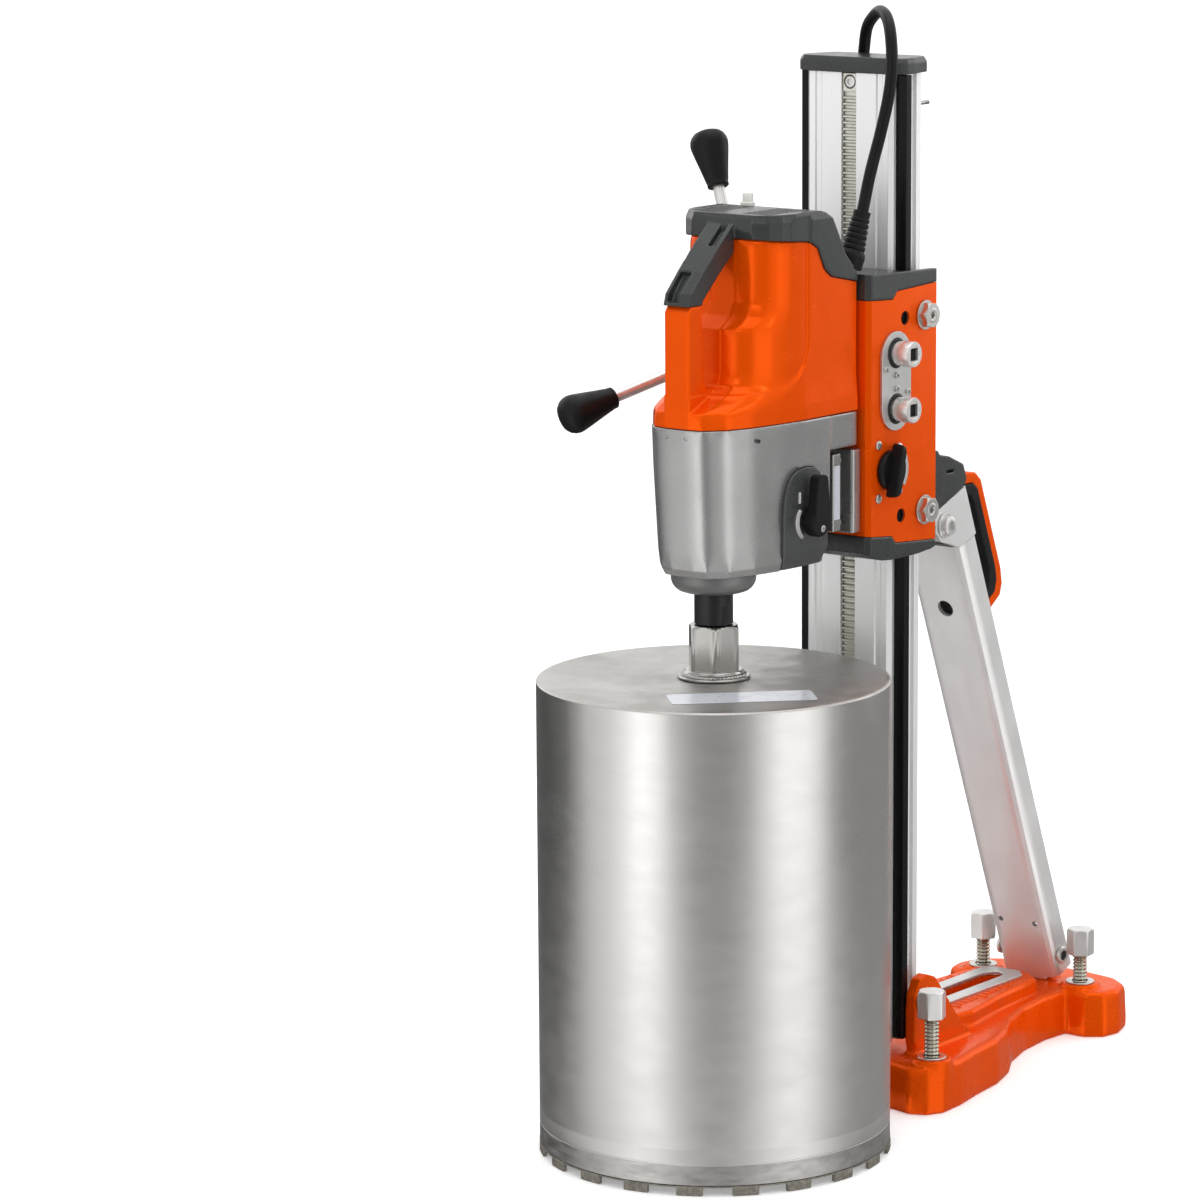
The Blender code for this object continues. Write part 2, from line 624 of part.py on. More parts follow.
def build_roller(side, name, z):
    centre = (ROLLER_Y, z)
    axle = piece("roller_axle_" + name, rod("x", centre, 6.0, *span(side, 53.5, 75), 16),
                 "zinc", smooth=40)
    add(axle, rod("x", centre, 15.0, *span(side, 73.3, 75.6)))
    add(axle, rod("x", centre, 14.0, *span(side, 75.0, 84.0), 6, turn=0.4))
    profile = [(6.4, 54.6), (ROLLER_R, 54.6), (ROLLER_R, 65.0), (6.4, 65.0)]
    if side < 0:
        profile = [(r, -h) for r, h in reversed(profile)]
    roller = piece("roller_" + name, turned(profile, 18, centre, "x"), "dark_steel", smooth=40)
    on_axis("roller_" + name + "_axis", (side * 59.8, ROLLER_Y, z), [roller])


def build_feed_shaft(name, centre, left_x, gears):
    """Shaft with its gears, given as (outline, x range), and a square socket on the right."""
    shaft = piece(name, rod("x", centre, 10.5, left_x, 80), "zinc", smooth=40)
    for outline, x_range in gears:
        add(shaft, prism(outline, "x", *x_range))
    add(shaft, rod("x", centre, 13.0, 77.0, 98.0))
    cut(shaft, box((84, 104), *((c - 6.4, c + 6.4) for c in centre)))
    return shaft


def build_lower_shaft():
    pinion = gear_points(PINION_TEETH, PINION_TOOTH, 0.0, LOWER_SHAFT)
    gear = gear_points(LOW_TEETH, FEED_TOOTH, math.pi / 2, LOWER_SHAFT)
    shaft = build_feed_shaft("feed_shaft_lower", LOWER_SHAFT, -85,
                             [(pinion, (-7.6, 7.6)), (gear, FEED_GEAR_X)])
    on_axis("feed_lower_axis", (0, *LOWER_SHAFT), [shaft])


def around_gears(lower_radius, upper_radius):
    """Tangent outline around the two feed gears."""
    tangent = math.degrees(math.asin((lower_radius - upper_radius) / (UPPER_Z - LOWER_Z)))
    return (arc(UPPER_SHAFT, upper_radius, tangent, 180 - tangent, 10)
            + arc(LOWER_SHAFT, lower_radius, 180 - tangent, 360 + tangent, 10))


def build_gearbox_cover():
    lower_radius, upper_radius, wall = 42.5, 27.0, 3.0
    cover = piece("gearbox_cover", prism(around_gears(lower_radius, upper_radius), "x",
                                         -89.0, -HOUSING_X - GAP), "cast_silver", smooth=30)
    cut(cover, prism(around_gears(lower_radius - wall, upper_radius - wall), "x", -85.8, -70.0))
    cut(cover, rod("x", UPPER_SHAFT, 11.0, -95, -80))


# Crank: three spokes swept back towards -x from the hub
SPOKE_CONE, SPOKE_PHASE = math.radians(23.0), math.radians(-11.5)
SPOKE_ORIGIN_X = -104.0
REACH = 199.0
CRANK_HUB = [(10.8, -114), (17, -114), (20, -111), (20, -95), (23, -92), (23, -90), (10.8, -90)]
# (radius, distance along the spoke)
CRANK_KNOB = [
    (0, REACH - 33), (11.0, REACH - 33), (12.0, REACH - 29), (18.6, REACH + 4),
    (20.0, REACH + 12), (18.0, REACH + 21), (12.0, REACH + 26.5), (0, REACH + 28)]


def build_crank():
    gear = gear_points(UP_TEETH, FEED_TOOTH, -math.pi / 2 + math.pi / UP_TEETH, UPPER_SHAFT)
    shaft = build_feed_shaft("feed_shaft_upper", UPPER_SHAFT, -113, [(gear, FEED_GEAR_X)])
    hub = piece("crank_hub", turned(CRANK_HUB, 24, UPPER_SHAFT, "x"), "zinc", smooth=35)
    knobs = []
    for k in range(3):
        angle = SPOKE_PHASE + k * 2 * math.pi / 3
        direction = Vector((-math.sin(SPOKE_CONE), -math.cos(SPOKE_CONE) * math.sin(angle),
                            math.cos(SPOKE_CONE) * math.cos(angle)))
        spoke = aimed((SPOKE_ORIGIN_X, *UPPER_SHAFT), direction)
        add(hub, bar(spoke, 6.0, 15, REACH - 20, 14))
        knob = piece("crank_knob_%d" % (k + 1), transformed(turned(CRANK_KNOB, 16), spoke),
                     "black_rubber", smooth=50)
        cut(knob, bar(spoke, 6.3, REACH - 49.7, REACH - 19.7, 14))
        knobs.append(knob)
    on_axis("crank_axis", (0, *UPPER_SHAFT), [shaft, hub, *knobs])


def build_lock():
    """Lock knob and the curved plate behind it."""
    profile = [(0, 64.5), (8.0, 64.5), (8.0, 73.3), (20.0, 73.3), (20.0, 77), (17.5, 79.5),
               (0, 79.5)]
    knob = piece("lock_knob", turned(profile, 24, LOCK_AXIS, "x"), "grey_plastic", smooth=35)
    add(knob, prism([(-73, 640), (-64, 640), (-52, 690), (-61, 692)], "x", 78.5, 92.0))
    on_axis("lock_axis", (80, *LOCK_AXIS), [knob])
    outline = (arc(LOCK_AXIS, 27.5, -58, 50, 9, radius_v=31)
               + arc(LOCK_AXIS, 22.0, 60, -60, 10))
    piece("lock_plate", prism(outline, "x", HOUSING_X + GAP, 76.0), "black_rubber", smooth=30)


def build_mount():
    """Plate on the carriage front and the bracket in front of it."""
    outline = [(-62, -109), (62, -109), (64, -107), (64, -96), (62, -94.8), (-62, -94.8),
               (-64, -96), (-64, -107)]
    piece("mount_plate", prism(outline, "z", 606.0, 690.0), "cast_silver", smooth=30)
    bracket = piece("motor_bracket", box((-58, 58), (-134.5, -121.0), (610, 688)), "cast_silver")
    add(bracket, box((-40, 40), (-122, -109.3), (616, 688)))


def build_carriage():
    housing = build_housing()
    bottom = build_end_cap("carriage_cap_bottom", (572.8, 604.0), (560, 620), BOTTOM_CAP_CUTS)
    top = build_end_cap("carriage_cap_top", (834.0, 864.5), (820, 870), TOP_CAP_CUTS)
    on_axis("carriage_mid", (0, 0, 716), [housing, bottom, top])
    build_shaft_plate()
    for side, label in SIDES:
        for z, height in zip(ROLLER_Z, ("low", "high")):
            build_roller(side, label + "_" + height, z)
    build_lower_shaft()
    build_gearbox_cover()
    build_crank()
    build_lock()
    build_mount()


# ---------------------------------------------------------------- gear case
# (x, y), right halves
CASE_HALF = [(0, -314), (14, -314), (30, -311), (46, -293), (55, -262), (61, -222), (64, -190),
             (64, -146), (0, -146)]
CASE_CAVITY_HALF = [(0, -298), (20, -297), (35, -281), (41, -262), (45, -235), (48, -215),
                    (51, -190), (53, -152), (0, -152)]
CASE_SHELF = [(-62, -160), (62, -160), (63, -101), (61, -99), (-61, -99), (-63, -101)]
# z, rearward shift of the nose, width factor at the nose
CASE_RINGS = ((582.5, 14, 0.86), (590, 10, 0.92), (606, 7, 0.945), (690, 1.5, 0.99),
              (729.0, 0, 1.0))
# (radius, z)
BEARING_NOSE = [(19.8, 562.5), (27.0, 562.5), (34.0, 563.9), (39.0, 567.5), (42.0, 573.5),
                (42.0, 582.2), (27.2, 582.2), (27.2, 591.0), (19.8, 591.0)]
# (x, y) along the case's right wall
CASE_WALL = [(51.5, -252), (57.2, -235), (61.2, -215), (63.2, -190), (63.2, -136)]
# (y, z) side views of the panel and of its seat
PANEL_SIDE = [
    (-218, 583.5), (-219.5, 636), (-218.4, 654), (-215, 667), (-209, 675.5), (-200, 681),
    (-188, 683), (-174, 681), (-162, 673), (-154, 658), (-150, 640), (-148, 600), (-158, 583.5)]
SEAT_SIDE = [
    (-218.2, 560), (-218.4, 583.5), (-219.9, 636.1), (-218.8, 654.1), (-215.4, 667.2),
    (-209.2, 675.9), (-200.1, 681.4), (-188, 683.4), (-173.8, 681.4), (-161.7, 673.3),
    (-153.6, 658.2), (-149.6, 640.1), (-136, 600), (-136, 560)]


def case_ring(z, nose_shift, nose_width):
    """The nose draws in towards the bottom; the rear edge keeps its place."""
    points = []
    for x, y in mirrored(CASE_HALF):
        t = min(1.0, max(0.0, (-y - 146) / 168.0))
        points.append((x * (1 - (1 - nose_width) * (0.35 + 0.65 * t)), y + nose_shift * t, z))
    return points


def wall_form(inner, outer):
    """Strip along the case's right wall, from inner below its line to outer beyond it."""
    rings = []
    for z, factor in ((575.0, 0.885), (600.0, 0.955), (690.0, 0.995)):
        outside = [((x + outer) * factor, y) for x, y in CASE_WALL]
        inside = [((x - inner) * factor, y) for x, y in reversed(CASE_WALL)]
        rings.append(level(outside + inside, z))
    return loft(rings)


def build_gear_case():
    case = piece("gear_case", loft([case_ring(*ring) for ring in CASE_RINGS]), "cast_silver",
                 smooth=32)
    # upper rear shelf that reaches back over the bracket
    add(case, prism(CASE_SHELF, "z", 694.0, 728.6))
    cut(case, prism(mirrored(CASE_CAVITY_HALF), "z", 592, 740))
    cut(case, rod("z", SPINDLE, 27.5, 570, 600, 24))
    piece("bearing_nose", turned(BEARING_NOSE, 28, SPINDLE), "grey_plastic", smooth=35)
    # panel on the right wall, and its seat
    panel = piece("gear_case_panel", wall_form(3.4, 1.8), "grey_plastic", smooth=30)
    boolean(panel, prism(PANEL_SIDE, "x", 30.0, 90.0), "INTERSECT")
    recess = tool(wall_form(3.75, 12.0), "gear_case_recess")
    arch = tool(prism(SEAT_SIDE, "x", 30.0, 92.0), "gear_case_arch")
    boolean_with(recess, "arch", "INTERSECT", arch)
    boolean_with(case, "panel_seat", "DIFFERENCE", recess)


def build_selector():
    y, z = SELECTOR_Y, SELECTOR_Z
    knob = piece("gear_selector", rod("x", (y, z), 15.0, 66.2, 80.0), "black_rubber", smooth=40)
    lever = [(y - 13, z), (y - 9.5, z + 44), (y - 7, z + 47), (y + 7, z + 47), (y + 9.5, z + 44),
             (y + 13, z)]
    add(knob, prism(lever, "x", 70.0, 81.5))
    on_axis("gear_selector_axis", (74, y, z), [knob])


# ---------------------------------------------------------------- motor
# (x, y), right halves: flared foot, waist behind the hand grip, chest above it
BODY_REAR = [(62, -101), (58.5, -97.5), (0, -97.5)]
FLARE = mirrored([(0, -313), (14, -313), (29, -310), (46, -291), (55, -262), (61, -222),
                  (64, -190), (64, -101), (60, -97.5), (0, -97.5)])
WAIST = mirrored([(0, -262), (20, -262), (34, -259), (46, -250), (56, -234), (61, -214),
                  (62, -190)] + BODY_REAR)
CHEST = mirrored([(0, -238), (20, -238), (36, -237), (48, -230), (57, -219), (61.5, -206),
                  (62, -190)] + BODY_REAR)
TOP_COVER_PLAN = mirrored([(0, -241), (36, -240), (50, -231), (59.5, -219), (64, -205),
                           (64, -180), (64, -101), (60, -96.8), (0, -96.8)])
# (y, z) side views
GRIP_POST = [(-304, 736), (-312.5, 745), (-312.5, 842), (-308, 848), (-291, 848), (-289, 776),
             (-283, 766), (-255, 764), (-255, 736)]
PARTING = [(-238.5, 908.0), (-180, 903.0), (-167, 896.0), (-155, 874.0), (-144, 866.0)]
HOUSING_TOP = ([(-330, 848.0), (-289.5, 848.0), (-289.5, 851.0), (-262, 876.0), (-240, 893.0)]
               + PARTING + [(-80, 853.5)])
TOP_COVER_SIDE = [(y, z + GAP) for y, z in PARTING] + [
    (-96.5, 857.1), (-96.5, 862.0), (-121, 886), (-133, 907), (-143, 924), (-152, 930),
    (-160, 932), (-236, 932), (-242, 924)]
GRIP_BRIDGE = [
    (-313, 848.3), (-309.5, 860.0), (-290, 880.0), (-262, 905.5), (-238, 926.0), (-225, 926),
    (-225, 909.5), (-240.0, 909.0), (-241, 894.5), (-262, 877.5), (-290, 852.0), (-290, 848.3)]
GRIP_HALF_X = 15.5


def build_motor_housing():
    rings = [level(FLARE, 729.4), level(FLARE, 745.0), level(between(FLARE, WAIST, 0.55), 757.0),
             level(between(FLARE, WAIST, 0.92), 768.0), level(WAIST, 780.0), level(WAIST, 822.0),
             level(between(WAIST, CHEST, 0.7), 834.0), level(CHEST, 846.0), level(CHEST, 936.0)]
    housing = piece("motor_housing", loft(rings), "orange_paint", smooth=32)
    # hand grip post in front
    add(housing, prism(GRIP_POST, "x", -GRIP_HALF_X, GRIP_HALF_X))
    cut(housing, prism(HOUSING_TOP + [(-80, 960), (-330, 960)], "x", -90, 90))
    cut(housing, rod("z", ROTOR, 47.0, 720, 854, 28))
    cut(housing, rod("z", ROTOR, 9.0, 850, 860, 16))


def build_top_cover():
    rim = [(x * 0.955, -165 + (y + 165) * 0.965) for x, y in TOP_COVER_PLAN]
    cover = piece("top_cover", loft([level(TOP_COVER_PLAN, 840), level(TOP_COVER_PLAN, 924),
                                     level(rim, 932.0)]), "grey_plastic", smooth=32)
    boolean(cover, prism(TOP_COVER_SIDE, "x", -80, 80), "INTERSECT")
    add(cover, prism(GRIP_BRIDGE, "x", -GRIP_HALF_X, GRIP_HALF_X))
    vents = bmesh.new()
    for k in range(7):
        y = -226 + 9 * k
        for side in (1, -1):
            box(span(side, 14, 48), (y, y + 4.5), (927.5, 940), bm=vents)
    cut(cover, vents)
    return cover


def build_rotor():
    stator_profile = [(27.0, 742), (44.5, 742), (44.5, 850), (27.0, 850)]
    piece("stator", turned(stator_profile, 28, ROTOR), "dark_steel", smooth=40)
    rotor = piece("rotor", rod("z", ROTOR, 7.0, 700.5, 857, 16), "zinc", smooth=40)
    add(rotor, rod("z", ROTOR, 25.5, 748, 846, 24))
    add(rotor, prism(gear_points(ROTOR_TEETH, MOTOR_TOOTH, -math.pi / 2, ROTOR),
                     "z", 699.0, 712.0))
    on_axis("rotor_axis", (*ROTOR, 790), [rotor])


def build_layshaft():
    shaft = piece("layshaft", rod("z", LAYSHAFT, 7.0, 612, 722, 16), "zinc", smooth=40)
    upper_phase = math.pi / 2 + math.pi / LAY_UPPER_TEETH
    add(shaft, prism(gear_points(LAY_UPPER_TEETH, MOTOR_TOOTH, upper_phase, LAYSHAFT),
                     "z", 701.0, 711.0))
    add(shaft, prism(gear_points(LAY_LOWER_TEETH, SPINDLE_TOOTH, -math.pi / 2, LAYSHAFT),
                     "z", 637.0, 658.0))
    on_axis("layshaft_axis", (*LAYSHAFT, 667), [shaft])


# ---------------------------------------------------------------- spindle and bit
BIT_R, BARREL_INNER_R = 175.0, 172.2
# (radius, z)
HUB_FLANGE = [(0, 477.0), (36, 477.0), (36, 479.5), (29, 485.0), (0, 485.0)]
BARREL = [(0, 476.4), (172.6, 476.4), (BIT_R, 474.2), (BIT_R, 10.0), (BARREL_INNER_R, 10.0),
          (BARREL_INNER_R, 470.4), (0, 470.4)]
CROWN = [(171.4, 0), (175.9, 0), (175.9, 9.7), (171.4, 9.7)]
CROWN_SLOTS = 20
CROWN_SLOT_SIZE = (12, 29.0, 15.6)      # radial, tangential, height; centred on the floor


def build_spindle():
    spindle = piece("spindle", rod("z", SPINDLE, 19.2, 530.3, 695, 28), "dark_steel", smooth=35)
    phase = math.pi / 2 + math.pi / SPINDLE_TEETH
    add(spindle, prism(gear_points(SPINDLE_TEETH, SPINDLE_TOOTH, phase, SPINDLE),
                       "z", 640.0, 655.0))
    add(spindle, rod("z", SPINDLE, 12.0, 516.0, 532.0))
    # flats near the lower end
    for side in (1, -1):
        cut(spindle, box(span(side, 16.6, 40), (-300, -200), (531.5, 551)))
    return spindle


def build_bit_hub():
    turn = math.radians(12)
    hub = piece("bit_hub", rod("z", SPINDLE, 27.1, 483.5, 526, 6, turn=turn), "zinc", smooth=30)
    add(hub, rod("z", SPINDLE, 27.1, 525.9, 530, 6, end_radius=23.5, turn=turn))
    add(hub, turned(HUB_FLANGE, 36, SPINDLE))
    cut(hub, rod("z", SPINDLE, 12.3, 512.0, 540.0))
    return hub


def build_crown():
    crown = piece("segment_crown", turned(CROWN, 72, SPINDLE), "dark_steel", smooth=30)
    slots = bmesh.new()
    for k in range(CROWN_SLOTS):
        turn = Matrix.Rotation(math.radians(1.9 + 360 / CROWN_SLOTS * k), 4, "Z")
        place = (Matrix.Translation((*SPINDLE, 0)) @ turn @ Matrix.Translation((173.5, 0, 0.0))
                 @ Matrix.Diagonal((*CROWN_SLOT_SIZE, 1)))
        bmesh.ops.create_cube(slots, size=1.0, matrix=place)
    cut(crown, slots)
    return crown


def build_spindle_and_bit():
    spindle, hub = build_spindle(), build_bit_hub()
    barrel = piece("bit_barrel", turned(BARREL, 72, SPINDLE), "brushed_bit", smooth=40)
    on_axis("spindle_axis", (*SPINDLE, 560), [spindle, hub, barrel, build_crown()])


# ---------------------------------------------------------------- cable
GLAND_START, GLAND_END = Vector((52.0, -103.0, 862.0)), Vector((57.0, -84.0, 925.0))
# (x, y, z) beyond the gland: up, over the column and down behind it
CABLE_PATH = [
    (60, -75, 962), (65, -64, 1003), (69, -56, 1040), (68, -50, 1070), (60, -41, 1097),
    (45, -26, 1112), (24, -6, 1117), (2, 15, 1113), (-20, 33, 1096), (-32, 47, 1068),
    (-36, 54, 1030), (-36, 56, 900), (-36, 55, 790)]


def build_cable(top_cover):
    """Gland with its seat in the top cover, and the power cable."""
    run = GLAND_END - GLAND_START
    place = aimed(GLAND_START, run)
    profile = [(6.4, 8.0), (12.5, 8.0), (13.5, 20.0), (10.5, 36.0), (9.0, run.length),
               (6.4, run.length)]
    piece("cable_gland", transformed(turned(profile, 16), place), "grey_plastic", smooth=40)
    cut(top_cover, bar(place, 13.9, 7.7, 89.7, 16))

    curve = bpy.data.curves.new("cable_path", "CURVE")
    curve.dimensions = "3D"
    curve.bevel_depth = 6.0
    curve.bevel_resolution = 2
    curve.use_fill_caps = True
    add_spline(curve, [GLAND_START + run * 0.2, GLAND_END, *CABLE_PATH])
    piece("power_cable", bmesh_from_curve(curve), "black_rubber", smooth=50)


build_base()
build_anchor_plate()
build_tilt_bolt()
build_foot_bolt()
build_levelling_screws()
build_column()
build_slider()
build_strut()
build_carriage()
build_gear_case()
build_selector()
build_motor_housing()
top_cover = build_top_cover()
build_rotor()
build_layshaft()
build_spindle_and_bit()
build_cable(top_cover)
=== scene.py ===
# Core drill rig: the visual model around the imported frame.
#
# Z is up from the floor at 0, and +X is the right side. The column stands over the middle of
# the rig, the carriage with motor and core bit hangs in front of it (-Y), and the strut leans
# on it from behind (+Y). Shapes are drawn in millimetres and scaled to metres when they become
# meshes; the floor, lights and camera are in metres.
import json
import math

import bmesh
import bpy
import numpy as np
from mathutils import Matrix, Vector


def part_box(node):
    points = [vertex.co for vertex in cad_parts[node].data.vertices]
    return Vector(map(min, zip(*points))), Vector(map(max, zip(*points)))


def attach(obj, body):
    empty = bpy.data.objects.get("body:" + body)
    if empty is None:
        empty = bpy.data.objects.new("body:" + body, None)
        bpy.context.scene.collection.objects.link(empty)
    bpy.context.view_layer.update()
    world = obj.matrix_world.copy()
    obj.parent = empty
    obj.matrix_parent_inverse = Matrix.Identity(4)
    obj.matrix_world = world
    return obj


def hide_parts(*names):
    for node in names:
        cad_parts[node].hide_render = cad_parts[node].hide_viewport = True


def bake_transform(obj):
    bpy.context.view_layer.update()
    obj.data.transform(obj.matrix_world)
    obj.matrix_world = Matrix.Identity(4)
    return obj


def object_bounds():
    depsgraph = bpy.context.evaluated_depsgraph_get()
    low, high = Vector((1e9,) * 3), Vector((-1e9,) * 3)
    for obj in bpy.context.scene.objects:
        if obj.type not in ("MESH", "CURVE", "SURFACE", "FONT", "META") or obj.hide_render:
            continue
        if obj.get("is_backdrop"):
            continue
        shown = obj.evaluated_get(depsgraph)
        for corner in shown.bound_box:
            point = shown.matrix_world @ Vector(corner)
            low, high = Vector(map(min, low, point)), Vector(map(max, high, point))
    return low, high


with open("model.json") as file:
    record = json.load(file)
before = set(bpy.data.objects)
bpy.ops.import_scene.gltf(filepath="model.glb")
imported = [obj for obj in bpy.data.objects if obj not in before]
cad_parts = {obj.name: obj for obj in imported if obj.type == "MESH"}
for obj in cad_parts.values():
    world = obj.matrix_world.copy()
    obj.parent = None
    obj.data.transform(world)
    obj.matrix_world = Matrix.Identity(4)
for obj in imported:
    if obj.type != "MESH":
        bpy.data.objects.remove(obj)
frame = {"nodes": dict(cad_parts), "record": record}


def plain(value):
    """The value as types that JSON can hold."""
    if isinstance(value, dict):
        return {str(key): plain(item) for key, item in value.items()}
    if isinstance(value, (str, int, float, bool)) or value is None:
        return value
    return [plain(item) for item in value]


size = {"after_load": plain(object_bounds())}
MM = 0.001
scene = bpy.context.scene
NODES = frame["nodes"]
BODY = {node: body for body, nodes in frame["record"]["behaviour"]["bodies"].items()
        for node in nodes}
SLOT = {part["node"]: part["material_slot"] for part in frame["record"]["subparts"]}

# directions a shape drawn along z can be turned to
UPRIGHT = Matrix.Identity(4)
TO_RIGHT = Matrix(((0, 0, 1, 0), (1, 0, 0, 0), (0, 1, 0, 0), (0, 0, 0, 1)))
TO_FRONT = Matrix.Rotation(math.pi / 2, 4, "X")
TO_BACK = Matrix.Rotation(-math.pi / 2, 4, "X")


# ------------------------------------------------------------------ materials
def add_node(tree, kind, **settings):
    """A shader node; each setting is an input's value, or an attribute if no input has its name."""
    node = tree.nodes.new("ShaderNode" + kind)
    for key, value in settings.items():
        if key in node.inputs:
            node.inputs[key].default_value = value
        else:
            setattr(node, key, value)
    return node


def rgba(sockets, name):
    """The colour socket of a Mix node, which has sockets of other types by the same name."""
    return [socket for socket in sockets if socket.name == name and socket.type == "RGBA"][0]


MATERIALS = {}


class Material:
    """A Principled material with layers of roughness, bump and tint, in object coordinates."""

    def __init__(self, name, color, metallic, rough, coat=0.0, coat_rough=0.1, spec=0.5,
                 inputs=()):
        material = bpy.data.materials.new(name)
        material.use_nodes = True
        self.tree = material.node_tree
        self.bsdf = self.tree.nodes["Principled BSDF"]
        values = {"Base Color": (*color, 1), "Metallic": metallic, "Roughness": rough,
                  "Coat Weight": coat, "Coat Roughness": coat_rough, "Specular IOR Level": spec}
        values.update(inputs)
        for key, value in values.items():
            self.bsdf.inputs[key].default_value = value
        self.color = color
        self.coords = self.node("TexCoord")
        self.normal = None
        self.tinted = None
        MATERIALS[name] = material

    def node(self, kind, **settings):
        return add_node(self.tree, kind, **settings)

    def link(self, output, socket):
        self.tree.links.new(output, socket)

    def texture(self, kind, stretch, **settings):
        texture = self.node(kind, **settings)
        mapping = self.node("Mapping", Scale=stretch)
        self.link(self.coords.outputs["Object"], mapping.inputs["Vector"])
        self.link(mapping.outputs["Vector"], texture.inputs["Vector"])
        return texture

    def noise(self, scale, stretch=(1, 1, 1), detail=3.0, roughness=0.5):
        return self.texture("TexNoise", stretch, Scale=scale, Detail=detail,
                            Roughness=roughness).outputs["Fac"]

    def remap(self, value, low, high, span=(0.3, 0.7)):
        """Values across the span become low to high."""
        remap = self.node("MapRange", **{"From Min": span[0], "From Max": span[1],
                                         "To Min": low, "To Max": high})
        self.link(value, remap.inputs["Value"])
        return remap.outputs["Result"]

    def add_bump(self, height, strength, depth):
        bump = self.node("Bump", Strength=strength, Distance=depth)
        self.link(height, bump.inputs["Height"])
        if self.normal is not None:
            self.link(self.normal, bump.inputs["Normal"])
        self.normal = bump.outputs["Normal"]
        self.link(self.normal, self.bsdf.inputs["Normal"])
        return self

    def bump(self, strength, depth, **noise):
        return self.add_bump(self.noise(**noise), strength, depth)

    def bump_cells(self, strength, depth, scale):
        cells = self.texture("TexVoronoi", (1, 1, 1), Scale=scale)
        return self.add_bump(cells.outputs["Distance"], strength, depth)

    def vary_rough(self, low, high, **noise):
        self.link(self.remap(self.noise(**noise), low, high), self.bsdf.inputs["Roughness"])
        return self

    def add_tint(self, value, color, amount, span):
        mix = self.node("Mix", data_type="RGBA")
        base = rgba(mix.inputs, "A")
        if self.tinted is None:
            base.default_value = (*self.color, 1)
        else:
            self.link(self.tinted, base)
        rgba(mix.inputs, "B").default_value = (*color, 1)
        self.link(self.remap(value, 0.0, amount, span), mix.inputs["Factor"])
        self.tinted = rgba(mix.outputs, "Result")
        self.link(self.tinted, self.bsdf.inputs["Base Color"])
        return self

    def tint(self, color, amount, span, **noise):
        return self.add_tint(self.noise(**noise), color, amount, span)

    def edge(self, color, amount, radius):
        """Coloured rims, from the difference a small bevel makes to the normal."""
        bevel = self.node("Bevel", samples=4, Radius=radius)
        geometry = self.node("NewGeometry")
        dot = self.node("VectorMath", operation="DOT_PRODUCT")
        self.link(bevel.outputs["Normal"], dot.inputs[0])
        self.link(geometry.outputs["True Normal"], dot.inputs[1])
        breakup = self.noise(scale=240, detail=4)
        invert = self.node("Math", operation="SUBTRACT")
        invert.inputs[0].default_value = 1.0
        self.link(dot.outputs["Value"], invert.inputs[1])
        product = self.node("Math", operation="MULTIPLY")
        self.link(invert.outputs[0], product.inputs[0])
        self.link(breakup, product.inputs[1])
        return self.add_tint(product.outputs[0], color, amount, span=(0.03, 0.12))


def orange(name, coat, rough):
    (Material(name, color=(0.83, 0.086, 0.0005), metallic=0.32, rough=rough, coat=coat,
              coat_rough=0.05, spec=0.12,
              inputs={"Specular Tint": (1.0, 0.55, 0.25, 1), "Coat Tint": (1.0, 0.75, 0.45, 1)})
     .tint(color=(0.78, 0.070, 0.0004), amount=0.5, span=(0.35, 0.7), scale=9, detail=2)
     .vary_rough(low=rough - 0.05, high=rough + 0.08, scale=60, detail=4)
     .bump(strength=0.02, depth=0.0003, scale=260, detail=1))


def moulded_grey(name, color, rough, spec, patches, rim):
    (Material(name, color=color, metallic=0, rough=rough, spec=spec)
     .vary_rough(low=rough - 0.04, high=rough + 0.06, scale=90)
     .bump_cells(strength=0.08, depth=0.0001, scale=1100)
     .tint(color=patches, amount=0.6, span=(0.4, 0.75), scale=14)
     .edge(color=rim, amount=0.35, radius=0.001))


orange("orange_gloss", coat=0.05, rough=0.20)
orange("orange_cast", coat=0.04, rough=0.24)
moulded_grey("grey_plastic", color=(0.040, 0.042, 0.042), rough=0.30, spec=0.6,
             patches=(0.075, 0.078, 0.077), rim=(0.16, 0.165, 0.165))
moulded_grey("grey_plastic_dark", color=(0.026, 0.028, 0.028), rough=0.27, spec=0.42,
             patches=(0.042, 0.044, 0.044), rim=(0.12, 0.125, 0.125))

(Material("black_grip", color=(0.0045, 0.0045, 0.005), metallic=0, rough=0.32, spec=0.18)
 .vary_rough(low=0.34, high=0.55, scale=120, detail=4)
 .bump_cells(strength=0.10, depth=0.00015, scale=1100)
 .tint(color=(0.008, 0.008, 0.0085), amount=0.7, span=(0.4, 0.7), scale=22)
 .edge(color=(0.02, 0.02, 0.021), amount=0.4, radius=0.001))

(Material("cable_rubber", color=(0.006, 0.006, 0.0065), metallic=0, rough=0.24, spec=0.14)
 .vary_rough(low=0.30, high=0.46, scale=70)
 .bump(strength=0.08, depth=0.0004, scale=260, stretch=(1, 1, 0.3))
 .tint(color=(0.014, 0.014, 0.0135), amount=0.5, span=(0.5, 0.8), scale=30, detail=4))

(Material("cast_silver", color=(0.41, 0.41, 0.405), metallic=0.85, rough=0.27)
 .vary_rough(low=0.24, high=0.30, scale=30, detail=2)
 .bump(strength=0.03, depth=0.0003, scale=420, detail=1)
 .tint(color=(0.31, 0.31, 0.305), amount=0.5, span=(0.4, 0.75), scale=11))

